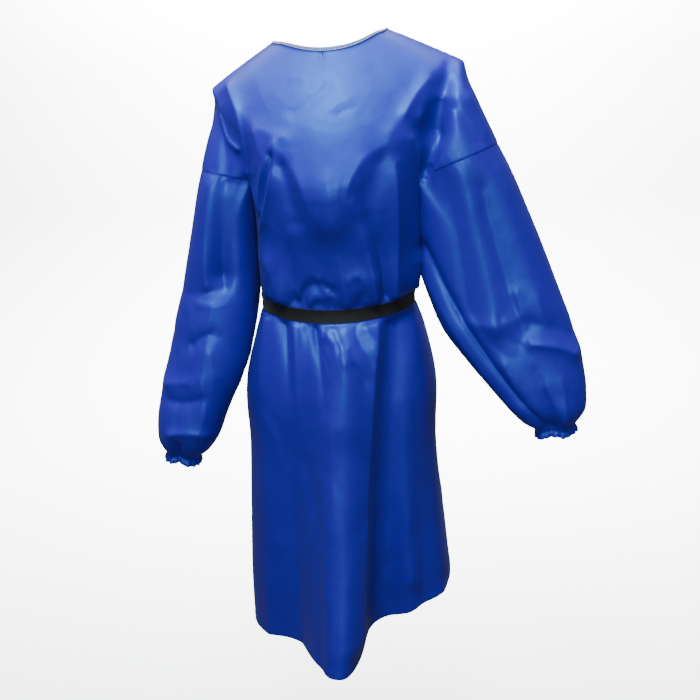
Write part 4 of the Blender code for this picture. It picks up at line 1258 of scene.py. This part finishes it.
@dataclass(frozen=True)
class WebbingFinish:
    """Black woven belt webbing with a faint rib."""

    name: str = "black_webbing"
    deep: tuple[float, float, float] = (0.0008, 0.0008, 0.0011)
    light: tuple[float, float, float] = (0.0036, 0.0036, 0.0040)
    rib: float = 1.6 * MM
    relief: float = 0.12 * MM
    height_pace: float = 0.8
    wear_scale: float = 60.0
    wear_share: float = 0.7
    rib_share: float = 0.15
    light_share: float = 0.1
    roughness: float = 0.62
    roughness_spread: float = 0.15
    sheen: float = 0.05
    sheen_roughness: float = 0.5
    gloss: float = 0.25

    def material(self) -> bpy.types.Material:
        """Build the material."""
        shader = Shader(self.name)
        flat = shader.place(True)
        turn = 2 * math.pi / self.rib
        along, up = shader.waves(flat, turn, turn * self.height_pace)
        wear = shader.noise(flat, self.wear_scale, 3.0)
        share = wear * self.wear_share + along * up * self.rib_share + self.light_share
        constants = {
            "Sheen Weight": self.sheen,
            "Sheen Roughness": self.sheen_roughness,
            "Specular IOR Level": self.gloss,
        }
        colour = shader.mix(share, self.deep, self.light)
        roughness = wear * self.roughness_spread + self.roughness
        shader.finish(colour, roughness, along * up * self.relief, 1.0, constants)
        return shader.material


@dataclass(frozen=True)
class ThreadFinish:
    """Spun thread of the overlocked neck edge."""

    name: str = "pale_thread"
    deep: tuple[float, float, float] = (0.30, 0.34, 0.44)
    light: tuple[float, float, float] = (0.62, 0.66, 0.74)
    scale: float = 260.0
    roughness: float = 0.65
    roughness_spread: float = 0.2
    relief: float = 0.15 * MM
    sheen: float = 0.2

    def material(self) -> bpy.types.Material:
        """Build the material."""
        shader = Shader(self.name)
        mottle = shader.noise(shader.place(False), self.scale, 2.0)
        colour = shader.mix(mottle, self.deep, self.light)
        roughness = mottle * self.roughness_spread + self.roughness
        shader.finish(colour, roughness, mottle * self.relief, 1.0, {"Sheen Weight": self.sheen})
        return shader.material


class Workshop:
    """Turns grids and paths into finished pieces on the gown's only body."""

    def __init__(self) -> None:
        """Start a collection for the pieces."""
        self.collection = bpy.data.collections.new("isolation_gown")
        bpy.context.scene.collection.children.link(self.collection)

    def cloth_piece(
        self, name: str, points: np.ndarray, away: np.ndarray, thickness: float, offset: float, closed: bool
    ) -> bpy.types.Object:
        """A thin closed shell on a grid of points, with a UV map in metres.

        Args:
            name: the piece's name.
            points: the outer side, columns by rows.
            away: for each point, a direction away from the body.
            thickness: the shell's thickness.
            offset: -1 to grow the shell inwards, 1 outwards.
            closed: whether the last column is the first.

        Returns:
            The piece.
        """
        facing = np.cross(points[1:, :-1] - points[:-1, :-1], points[:-1, 1:] - points[:-1, :-1])
        if (facing * away[:-1, :-1]).sum() < 0:
            points = points[::-1]
        across, along = points.shape[:2]
        builder = bmesh.new()
        uv = builder.loops.layers.uv.new("cloth_metres")
        bmesh.ops.create_grid(builder, x_segments=across - 1, y_segments=along - 1, size=1.0)
        flat_x = lengths_along(points, 0).mean(axis=1)
        flat_y = lengths_along(points, 1).mean(axis=0)
        order = points.transpose(1, 0, 2).reshape(-1, 3)
        builder.verts.ensure_lookup_table()
        for index, vertex in enumerate(builder.verts):
            vertex.co = order[index]
        for face in builder.faces:
            for loop in face.loops:
                row, column = divmod(loop.vert.index, across)
                loop[uv].uv = (flat_x[column], flat_y[row])
        if closed:
            bmesh.ops.remove_doubles(builder, verts=builder.verts[:], dist=SAME_POINT)
        for edge in builder.edges:
            edge.smooth = not edge.is_boundary
        mesh = bpy.data.meshes.new(name)
        builder.to_mesh(mesh)
        builder.free()
        mesh.shade_smooth()
        piece = bpy.data.objects.new(name, mesh)
        self.collection.objects.link(piece)
        wall = piece.modifiers.new("wall", "SOLIDIFY")
        wall.thickness = thickness
        wall.offset = offset
        wall.use_even_offset = False
        return piece

    def thread_piece(self, name: str, paths: list[np.ndarray], radius: float, sides: int) -> bpy.types.Object:
        """Round threads along paths, as one mesh.

        Args:
            name: the piece's name.
            paths: the points of each thread.
            radius: the threads' radius.
            sides: how round a thread is.

        Returns:
            The piece.
        """
        curve = bpy.data.curves.new(name + "_paths", "CURVE")
        curve.dimensions = "3D"
        curve.bevel_depth = radius
        curve.bevel_resolution = sides
        curve.use_fill_caps = True
        for path in paths:
            spline = curve.splines.new("POLY")
            spline.points.add(len(path) - 1)
            spline.points.foreach_set("co", np.concatenate([path, np.ones((len(path), 1))], axis=1).ravel())
        source = bpy.data.objects.new(name + "_source", curve)
        self.collection.objects.link(source)
        bpy.context.view_layer.update()
        mesh = bpy.data.meshes.new_from_object(source.evaluated_get(bpy.context.evaluated_depsgraph_get()))
        mesh.name = name
        bpy.data.objects.remove(source, do_unlink=True)
        mesh.shade_smooth()
        piece = bpy.data.objects.new(name, mesh)
        self.collection.objects.link(piece)
        return piece

    def dress(self, piece: bpy.types.Object, material: bpy.types.Material, slot: str) -> None:
        """Give a piece its material and let it ride on the gown."""
        piece.data.materials.clear()
        piece.data.materials.append(material)
        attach(piece, "root")
        log.info("%s: %d faces", piece.name, len(piece.data.polygons))


@dataclass
class Gathers:
    """Small uneven pleats that run away from a drawn-in line."""

    depth: float
    spacing: float
    reach: float
    seed: int

    def rise(self, beside: np.ndarray, away: np.ndarray) -> np.ndarray:
        """The pleats' rise.

        Args:
            beside: distance along the drawn-in line.
            away: distance from it.

        Returns:
            The rise at each point.
        """
        rng = random.Random(self.seed)
        total = np.zeros(np.broadcast(beside, away).shape)
        for share in (1.0, 0.62, 0.41):
            pace = 2 * math.pi / (self.spacing * rng.uniform(0.8, 1.25) / share)
            sway = 0.35 * np.sin(beside / self.spacing * 0.7 + rng.uniform(0, 6)) + rng.uniform(0, 6)
            strength = 0.6 + 0.4 * np.sin(beside / (self.spacing * 3.1) + rng.uniform(0, 6))
            total = total + strength * share * np.sin(beside * pace + sway * 3)
        return self.depth * total * np.exp(-np.abs(away) / self.reach) / 1.6


BELT_GATHERS = Gathers(2.8 * MM, 21 * MM, 24 * MM, 31)
PANEL_PUCKERS = Gathers(0.9 * MM, 14 * MM, 10 * MM, 37)
SLEEVE_PUCKERS = Gathers(0.9 * MM, 14 * MM, 10 * MM, 41)
# Waves round the sleeve's end and their depth in millimetres
CUFF_PLEATS = ((7, 1.6), (11, 1.3), (17, 0.9))


@dataclass(frozen=True)
class CuffShape:
    """Elastic casing that is pinched in and then opens into a short ruffle."""

    length: float = 17 * MM
    waves: int = 18
    points_a_wave: int = 16
    rows: int = 13
    pinch: float = 1.6 * MM
    pinch_end: float = 0.55
    opens_from: float = 0.25
    flare: float = 0.8 * MM
    edge_wave: float = 0.5 * MM
    least_wave: float = 0.5
    wave_growth: float = 0.9
    seed: int = 61


@dataclass(frozen=True)
class Overlock:
    """Thread that wraps a cut edge, over and over, with a needle thread along its lower side."""

    pitch: float = 4.2 * MM
    reach: float = 6.8 * MM
    radius: float = 0.62 * MM
    out: float = 0.55 * MM
    under: float = -1.45 * MM
    bulge_out: float = 0.25 * MM
    bulge_under: float = -0.1 * MM
    turn_down: float = 0.9 * MM
    past_edge: float = 0.45 * MM
    needle_share: float = 0.92
    needle_heights: tuple[float, float, float] = (0.2, 1.3, 0.2)
    least_reach: float = 0.82
    most_reach: float = 1.12
    seed: int = 71


@dataclass(frozen=True)
class HemStitch:
    """Lockstitch above the hem's fold."""

    length: float = 2.6 * MM
    gap: float = 0.9 * MM
    radius: float = 0.28 * MM
    lift: float = 0.25 * MM


@dataclass
class Gown:
    """The whole gown: nets, cloth, sewing, cuffs and belt."""

    workshop: Workshop
    form: GownForm = field(default_factory=GownForm)
    cloth_thickness: float = 0.9 * MM
    lap_columns: float = 3.08
    lap_stand_off: float = 2.7 * MM
    lap_lifted: float = 3.64
    lap_settled: float = 8.68
    collar_lift: float = 3.5 * MM
    collar_reach: float = 7 * MM
    seam_depth: float = 1.3 * MM
    seam_width: float = 2.4 * MM
    pucker_start: float = 0.006
    hem_height: float = 12 * MM
    hem_edge: float = 0.002
    hem_lift: float = 0.35 * MM
    hem_groove: float = 0.5 * MM
    fold_start: float = 0.012
    gather_start: float = 0.008
    gather_shift: float = 0.013
    inside_from: float = 0.004
    inside_full: float = 0.030
    puff: float = 0.6 * MM
    puff_full: float = 0.022
    puff_reach: float = 0.035
    belt_stand_off: float = 0.8 * MM
    belt_thickness: float = 1.6 * MM
    belt_lap_from: float = 7.12
    belt_rounds: int = 6
    cuff_draw: float = 5 * MM
    cuff_draw_reach: float = 16 * MM
    pleat_reach: float = 0.034
    pleat_from: float = -0.010
    pleat_full: float = 0.030
    pleat_seed: int = 53
    armhole_fade: float = 0.045
    cuff_shape: CuffShape = field(default_factory=CuffShape)
    edge: Overlock = field(default_factory=Overlock)
    stitch: HemStitch = field(default_factory=HemStitch)
    net: GownNet = field(init=False)
    reader: ClothReader = field(init=False)
    folds: Folds = field(init=False)
    cloths: dict[str, Cloth] = field(default_factory=dict)

    def __post_init__(self) -> None:
        """Set up the net, its reader and the list of folds."""
        self.net = GownNet(self.form)
        self.reader = ClothReader(self.form, self.net)
        small = tuple(crease for patch in SMALL_CREASES for crease in patch.creases())
        placed = CHEST_FOLDS + WAIST_FOLDS + SHOULDER_FOLDS + SLEEVE_FOLDS + SKIRT_FOLDS + BACK_FOLDS
        self.folds = Folds(placed + small)

    def body_rise(
        self, cloth: Cloth, neck_from: float, neck_to: float, seam_first: bool, phase: float
    ) -> None:
        """Add folds, seams, belt gathers and hem to a body panel.

        Args:
            cloth: the panel.
            neck_from: first place across that belongs to the neck.
            neck_to: last one.
            seam_first: whether its first column is a seam too.
            phase: how far its gathers are shifted.
        """
        points = cloth.points
        across = lengths_along(points, 0)
        along = lengths_along(points, 1)
        to_last = across[-1] - across
        to_seam = np.minimum(across, to_last) if seam_first else to_last
        hem = along[:, -1:] - along
        neck = (cloth.across_marks > neck_from) & (cloth.across_marks < neck_to)
        to_shoulder = np.where(neck[:, None], 1.0, along)
        row = self.net.belt_row
        belt_rows = (cloth.along_marks >= row) & (cloth.along_marks <= row + self.net.belt_rows)
        first, last = np.flatnonzero(belt_rows)[[0, -1]]
        above = np.maximum(along[:, first : first + 1] - along, 0.0)
        below = np.maximum(along - along[:, last : last + 1], 0.0)
        off_belt = above + below
        rise = self.folds.rise(points) * smooth_step(0.0, self.fold_start, off_belt)
        to_corner = np.minimum(cloth.across_marks - neck_from, neck_to - cloth.across_marks)
        turned_up = smooth_step(0.0, 1.0, to_corner)[:, None] * np.exp(-((along / self.collar_reach) ** 2))
        rise += self.collar_lift * turned_up
        inside = smooth_step(self.inside_from, self.inside_full, to_seam)
        gathers = BELT_GATHERS.rise(points[..., 0] + phase, off_belt)
        rise += gathers * inside * smooth_step(0.0, self.gather_start, off_belt)
        puff = smooth_step(0.0, self.puff_full, off_belt) * np.exp(-off_belt / self.puff_reach)
        rise += self.puff * puff * inside
        for apart, run in ((to_seam, along), (to_shoulder, across)):
            rise -= self.seam_depth * np.exp(-((apart / self.seam_width) ** 2))
            rise += PANEL_PUCKERS.rise(run, apart) * smooth_step(0.0, self.pucker_start, apart)
        rise += self.hem_lift * (1 - smooth_step(self.hem_height - self.hem_edge, self.hem_height, hem))
        rise -= self.hem_groove * np.exp(-(((hem - self.hem_height) / self.hem_edge) ** 2))
        cloth.rise = rise

    def build_body(self) -> None:
        """Read the front and the two back halves from their nets."""
        columns = self.net.columns
        halves = {(side, facing): self.net.half(side, facing) for side in Side for facing in Facing}
        front = np.concatenate([halves[Side.RIGHT, F][::-1], halves[Side.LEFT, F][1:]])
        marks = reading_marks(0.0, 2 * columns, self.reader.times, True, True)
        cloth = self.reader.body(front, marks)
        neck = self.net.neck_columns
        self.body_rise(cloth, columns - neck, columns + neck, True, 0.0)
        self.cloths["front"] = cloth
        lap_net = math.ceil(self.lap_columns)
        for side, other in ((Side.LEFT, Side.RIGHT), (Side.RIGHT, Side.LEFT)):
            extra = halves[other, B][1 : lap_net + 1][::-1]
            net = np.concatenate([extra, halves[side, B]])
            start = lap_net - self.lap_columns
            marks = reading_marks(start, lap_net + columns, self.reader.times, False, True)
            cloth = self.reader.body(net, marks)
            self.body_rise(cloth, -1.0, lap_net + neck, False, self.gather_shift * side.value)
            if side is Side.RIGHT:
                places = marks - lap_net
                lift = 1 - smooth_step(self.lap_lifted, self.lap_settled, places)
                cloth.rise += self.lap_stand_off * lift[:, None]
            self.cloths["back_" + side.name.lower()] = cloth

    def build_sleeves(self) -> None:
        """Read both sleeves, starting from the panels' own armhole points."""
        row = self.net.underarm_row
        for side in Side:
            tail = side.name.lower()
            front, back = self.cloths["front"], self.cloths["back_" + tail]
            edge = -1 if side is Side.LEFT else 0
            keep = front.along_marks <= row + TINY
            seam = np.concatenate([front.points[edge, keep], back.points[-1, keep][::-1][1:]])
            seam_normals = np.concatenate([front.normals[edge, keep], back.normals[-1, keep][::-1][1:]])
            placed = np.concatenate([front.placed[edge, keep], back.placed[-1, keep][::-1][1:]])
            whole = keep & (np.abs(front.along_marks - front.along_marks.round()) < TINY)
            coarse = (front.points[edge, whole], back.points[-1, whole])
            net = self.net.sleeve(side, *coarse)
            cloth = self.reader.sleeve(side, net, seam, seam_normals)
            self.sleeve_rise(cloth, placed, side)
            self.cloths["sleeve_" + tail] = cloth

    def sleeve_rise(self, cloth: Cloth, placed: np.ndarray, side: Side) -> None:
        """Add folds, the armhole seam and the cuff's gathers to a sleeve.

        Args:
            cloth: the sleeve.
            placed: where its first ring has to lie.
            side: which sleeve.
        """
        points = cloth.points
        along = lengths_along(points, 1)
        around = lengths_along(points, 0)
        to_cuff = along[:, -1:] - along
        rise = self.folds.rise(points)
        run = np.minimum(around, around[-1:] - around)
        puckers = SLEEVE_PUCKERS.rise(np.broadcast_to(run[:, :1], run.shape), along)
        rise += puckers * smooth_step(0.0, self.pucker_start, along)
        turn = around / around[-1:] * 2 * math.pi
        rng = random.Random(self.pleat_seed + side.value)
        pull = np.exp(-to_cuff / self.pleat_reach) * smooth_step(self.pleat_from, self.pleat_full, to_cuff)
        for waves, depth in CUFF_PLEATS:
            rise += depth * MM * pull * np.sin(turn * waves + rng.uniform(0, 6) + 1.4 * np.sin(turn * 2))
        rise -= self.cuff_draw * np.exp(-((to_cuff / self.cuff_draw_reach) ** 2))
        cloth.rise = rise
        shift = placed - cloth.placed[:, 0]
        fade = np.clip(1 - along / self.armhole_fade, 0.0, 1.0) ** 2
        cloth.points = cloth.points + shift[:, None, :] * fade[:, :, None]

    def shell(self, name: str, finish: bpy.types.Material, closed: bool) -> bpy.types.Object:
        """The finished shell of one sewn piece, standing for its solid."""
        cloth = self.cloths[name]
        wall = self.cloth_thickness
        piece = self.workshop.cloth_piece(name + "_panel", cloth.placed, cloth.normals, wall, INWARDS, closed)
        self.workshop.dress(piece, finish, name + "_cloth")
        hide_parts(name)
        return piece

    def cuff(self, side: Side, finish: bpy.types.Material) -> bpy.types.Object:
        """Elastic casing and short ruffle, carried on from the sleeve's last ring."""
        tail, shape = side.name.lower(), self.cuff_shape
        sleeve = self.cloths["sleeve_" + tail].placed
        last, before = sleeve[:, -1], sleeve[:, -4]
        middle = last[:-1].mean(axis=0)
        axis = middle - before[:-1].mean(axis=0)
        axis /= np.linalg.norm(axis)
        shares = np.linspace(0.0, 1.0, shape.waves * shape.points_a_wave + 1)
        ring = on_curve(last, shares)
        spokes = ring - middle
        spokes -= axis * (spokes @ axis)[:, None]
        spokes /= np.linalg.norm(spokes, axis=1)[:, None]
        rng = random.Random(shape.seed + side.value)
        once = 2 * math.pi * shares
        sway = 1.1 * np.sin(once * 3 + rng.uniform(0, 6)) + 0.7 * np.sin(once * 5)
        turn = 2 * math.pi * shape.waves * shares + sway
        strength = 1 + 0.35 * np.sin(once * 4 + rng.uniform(0, 6))
        rows = []
        for share in np.linspace(0.0, 1.0, shape.rows):
            pinch = shape.pinch * math.sin(math.pi * min(1.0, share / shape.pinch_end))
            opened = float(smooth_step(shape.opens_from, 1.0, np.array(share)))
            size = (shape.least_wave + shape.wave_growth * opened) * MM
            wave = size * share**0.5 * strength * np.cos(turn)
            out = shape.flare * opened - pinch + wave
            down = shape.length * share + shape.edge_wave * opened * strength * np.cos(turn)
            rows.append(ring + axis * down[:, None] + spokes * out[:, None])
        points = np.stack(rows, axis=1)
        points[-1] = points[0]
        away = np.repeat(spokes[:, None, :], len(rows), axis=1)
        wall = self.cloth_thickness
        piece = self.workshop.cloth_piece(f"cuff_{tail}_ruffle", points, away, wall, INWARDS, True)
        self.workshop.dress(piece, finish, f"cuff_{tail}_cloth")
        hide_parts("cuff_" + tail)
        return piece

    def belt(self, finish: bpy.types.Material) -> None:
        """Webbing belt round the waist, on the panels' own surface."""
        row, rows = self.net.belt_row, self.net.belt_rows
        parts = []
        for name, first, last, back in (
            ("front", 0.0, 2.0 * self.net.columns, False),
            ("back_left", self.belt_lap_from, math.inf, True),
            ("back_right", 0.0, math.inf, False),
        ):
            cloth = self.cloths[name]
            keep_rows = (cloth.along_marks >= row - TINY) & (cloth.along_marks <= row + rows + TINY)
            keep = (cloth.across_marks >= first) & (cloth.across_marks <= last)
            lift = np.maximum(cloth.rise, 0.0) + self.belt_stand_off
            out = cloth.points + cloth.normals * lift[:, :, None]
            part = out[keep][:, keep_rows]
            parts.append(part[::-1][1:] if back else part)
        ring = np.concatenate([parts[0], parts[1], parts[2][:-1], parts[0][:1]])
        smooth = ring[:-1]
        for _ in range(self.belt_rounds):
            smooth = (np.roll(smooth, 1, axis=0) + 2 * smooth + np.roll(smooth, -1, axis=0)) / 4
        ring = np.concatenate([smooth, smooth[:1]])
        away = ring - ring.mean(axis=(0, 1))
        piece = self.workshop.cloth_piece("belt_webbing", ring, away, self.belt_thickness, OUTWARDS, True)
        self.workshop.dress(piece, finish, "belt_webbing")
        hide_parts("belt")

    def neck_edges(self) -> dict[str, tuple[np.ndarray, np.ndarray, np.ndarray]]:
        """Each panel's neck edge, the direction down the cloth there and the cloth's normals."""
        columns, neck = self.net.columns, self.net.neck_columns
        lap_net = math.ceil(self.lap_columns)
        spans = {
            "front": (columns - neck, columns + neck),
            "back_left": (-1, lap_net + neck),
            "back_right": (-1, lap_net + neck),
        }
        edges = {}
        for name, (first, last) in spans.items():
            cloth = self.cloths[name]
            keep = (cloth.across_marks >= first) & (cloth.across_marks <= last)
            placed = cloth.placed[keep]
            down = placed[:, 3] - placed[:, 0]
            down /= np.linalg.norm(down, axis=1)[:, None]
            edges[name] = (placed[:, 0], down, cloth.normals[keep, 0])
        return edges

    def overlock(self, finish: bpy.types.Material) -> None:
        """Overlocked neck edge of each panel."""
        kind = self.edge
        bows = kind.out * np.array(kind.needle_heights)[:, None]
        for name, (edge, down, normals) in self.neck_edges().items():
            steps = np.linalg.norm(np.diff(edge, axis=0), axis=1)
            count = int(steps.sum() / kind.pitch)
            marks = np.linspace(0.0, 1.0, 2 * count + 1)
            at, drop, away = (on_length(steps, values, marks) for values in (edge, down, normals))
            rng = random.Random(kind.seed)
            wobble = np.array([rng.uniform(kind.least_reach, kind.most_reach) for _ in marks])
            wrap = []
            for index in range(2 * count + 1):
                level, bulge = (kind.under, kind.bulge_under) if index % 2 else (kind.out, kind.bulge_out)
                low = at[index] + drop[index] * kind.reach * wobble[index]
                wrap.append(low + away[index] * level)
                wrap.append(at[index] + drop[index] * kind.turn_down + away[index] * (level + bulge))
                wrap.append(at[index] - (drop[index] + away[index]) * kind.past_edge)
            needle = []
            for index in range(0, 2 * count - 1, 2):
                span = slice(index, index + 3)
                needle.append(at[span] + drop[span] * (kind.reach * kind.needle_share) + away[span] * bows)
            piece = self.workshop.thread_piece(name + "_overlock", [np.stack(wrap)] + needle, kind.radius, 1)
            self.workshop.dress(piece, finish, name + "_cloth")

    def hem_stitches(self, finish: bpy.types.Material) -> None:
        """Row of lockstitches above the hem's fold."""
        paths = []
        kind = self.stitch
        for name in ("front", "back_left", "back_right"):
            cloth = self.cloths[name]
            placed = cloth.placed
            along = lengths_along(placed, 1)
            up = along[:, -1:] - along
            line = []
            for heights, places in zip(up[:, ::-1], placed[:, ::-1]):
                line.append([np.interp(self.hem_height, heights, places[:, axis]) for axis in range(3)])
            line = np.array(line) + cloth.normals[:, -1] * kind.lift
            steps = np.linalg.norm(np.diff(line, axis=0), axis=1)
            count = int(steps.sum() / (kind.length + kind.gap))
            starts = np.arange(count) / count
            ends = starts + kind.length / steps.sum()
            both = on_curve(line, np.concatenate([starts, ends]))
            paths += [np.stack([both[k], both[k + count]]) for k in range(count)]
        piece = self.workshop.thread_piece("hem_stitches", paths, kind.radius, 0)
        self.workshop.dress(piece, finish, "front_cloth")


def on_length(steps: np.ndarray, values: np.ndarray, marks: np.ndarray) -> np.ndarray:
    """Values given at a curve's points, read at shares of its length."""
    lengths = np.concatenate([[0.0], np.cumsum(steps)]) / steps.sum()
    return np.stack([np.interp(marks, lengths, values[:, axis]) for axis in range(3)], axis=1)


@dataclass(frozen=True)
class Lamp:
    """A soft square light: where it stands, what it points at, its width, its watts and its colour."""

    name: str
    place: tuple[float, float, float]
    aim: tuple[float, float, float]
    size: float
    power: float
    colour: tuple[float, float, float]


LAMPS = (
    Lamp("overhead", (-0.35, 0.15, 1.75), (-0.25, 0.0, 0.0), 3.2, 165.0, (0.84, 0.96, 1.0)),
    Lamp("key", (-0.20, -1.20, 1.65), (0.0, 0.0, -0.4), 0.6, 54.0, (0.86, 0.95, 1.0)),
    Lamp("front", (0.15, -2.8, 0.4), (0.0, 0.0, -0.5), 0.9, 54.0, (0.90, 0.95, 1.0)),
    Lamp("backdrop", (0.0, 1.8, 2.6), (0.0, 4.2, 0.9), 2.4, 3400.0, (1.0, 1.0, 1.0)),
)
# The gown's sheets laid flat: width, length and the area of the shaped cut
FLAT_SIZES = {
    "front": (0.74, 1.18, 0.68),
    "back_left": (0.46, 1.17, 0.39),
    "back_right": (0.46, 1.17, 0.40),
    "sleeve_left": (0.54, 0.60, 0.28),
    "sleeve_right": (0.50, 0.58, 0.26),
}


@dataclass
class Studio:
    """Pale floor, soft lights and the camera at the photograph's angle."""

    turn: float = math.radians(5.0)
    distance: float = 1.6
    height: float = -0.06
    pitch: float = math.radians(15.9)
    roll: float = math.radians(-2.4)
    aim: float = math.radians(-0.4)
    lens_pixels: float = 842.0
    picture_pixels: float = 700.0
    sensor: float = 36.0
    floor_z: float = -1.45
    floor_front: float = -4.0
    floor_half_width: float = 7.0
    floor_half_run: float = 4.5
    floor_flat: float = 5.6
    floor_bend: float = 1.6
    wall_from: float = 7.2
    wall_stretch: float = 2.0
    floor_colour: tuple[float, float, float] = (0.86, 0.87, 0.88)
    floor_roughness: float = 0.9
    world_colour: tuple[float, float, float] = (0.90, 0.94, 1.0)
    world_strength: float = 0.10

    def camera(self) -> None:
        """Place the camera."""
        data = bpy.data.cameras.new("camera")
        data.sensor_width = self.sensor
        data.lens = self.sensor * self.lens_pixels / self.picture_pixels
        camera = bpy.data.objects.new("camera", data)
        heading = self.turn + self.aim
        level = Vector((math.cos(heading), math.sin(heading), 0.0))
        forward = Vector(
            (
                -math.sin(heading) * math.cos(self.pitch),
                math.cos(heading) * math.cos(self.pitch),
                -math.sin(self.pitch),
            )
        )
        up = level.cross(forward)
        right = level * math.cos(self.roll) + up * math.sin(self.roll)
        above = up * math.cos(self.roll) - level * math.sin(self.roll)
        place_x, place_y = math.sin(self.turn) * self.distance, -math.cos(self.turn) * self.distance
        matrix = Matrix((right, above, -forward)).transposed().to_4x4()
        matrix.translation = Vector((place_x, place_y, self.height))
        camera.matrix_world = matrix
        bpy.context.scene.collection.objects.link(camera)
        bpy.context.scene.camera = camera

    def floor(self) -> None:
        """Pale floor that sweeps up behind the gown."""
        builder = bmesh.new()
        bmesh.ops.create_grid(builder, x_segments=1, y_segments=24, size=1.0)
        builder.verts.ensure_lookup_table()
        radius = self.floor_bend / (math.pi / 2)
        for vertex in builder.verts:
            run = (vertex.co.y + 1.0) * self.floor_half_run
            bend = max(0.0, min(1.0, (run - self.floor_flat) / self.floor_bend)) * math.pi / 2
            past = max(0.0, run - self.wall_from)
            vertex.co = Vector(
                (
                    vertex.co.x * self.floor_half_width,
                    self.floor_front + min(run, self.floor_flat) + radius * math.sin(bend),
                    self.floor_z + radius * (1 - math.cos(bend)) + past * self.wall_stretch,
                )
            )
        mesh = bpy.data.meshes.new("studio_floor")
        builder.to_mesh(mesh)
        builder.free()
        mesh.shade_smooth()
        floor = bpy.data.objects.new("studio_floor", mesh)
        bpy.context.scene.collection.objects.link(floor)
        shader = Shader("pale_floor")
        shader.finish(self.floor_colour, self.floor_roughness, None, 0.0, {})
        mesh.materials.append(shader.material)
        floor.visible_glossy = False
        floor.visible_diffuse = False

    def light(self, lamp: Lamp) -> None:
        """Place one light."""
        data = bpy.data.lights.new(lamp.name, "AREA")
        data.size = lamp.size
        data.energy = lamp.power
        data.color = lamp.colour
        light = bpy.data.objects.new(lamp.name, data)
        light.location = lamp.place
        light.rotation_euler = (Vector(lamp.aim) - Vector(lamp.place)).to_track_quat("-Z", "Y").to_euler()
        bpy.context.scene.collection.objects.link(light)

    def lights(self) -> None:
        """Broad light overhead, two smaller ones in front, one for the backdrop and a weak sky."""
        world = bpy.data.worlds.new("studio_world")
        world.use_nodes = True
        sky = world.node_tree.nodes["Background"].inputs
        sky["Color"].default_value = (*self.world_colour, 1.0)
        sky["Strength"].default_value = self.world_strength
        bpy.context.scene.world = world
        for lamp in LAMPS:
            self.light(lamp)


def main() -> None:
    """Build the gown's pieces in order, then the studio, and report each piece."""
    logging.basicConfig(level=logging.INFO, format="%(name)s %(message)s")
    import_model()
    cloth = ClothFinish().material()
    gown = Gown(Workshop())
    gown.build_body()
    gown.build_sleeves()
    for name, (width, length, area) in FLAT_SIZES.items():
        piece = gown.shell(name, cloth, name.startswith("sleeve"))
    for side in Side:
        cuff = gown.cuff(side, cloth)
    gown.belt(WebbingFinish().material())
    gown.overlock(ThreadFinish().material())
    gown.hem_stitches(cloth)
    studio = Studio()
    studio.camera()
    studio.floor()
    studio.lights()


if __name__ == "__main__":
    main()
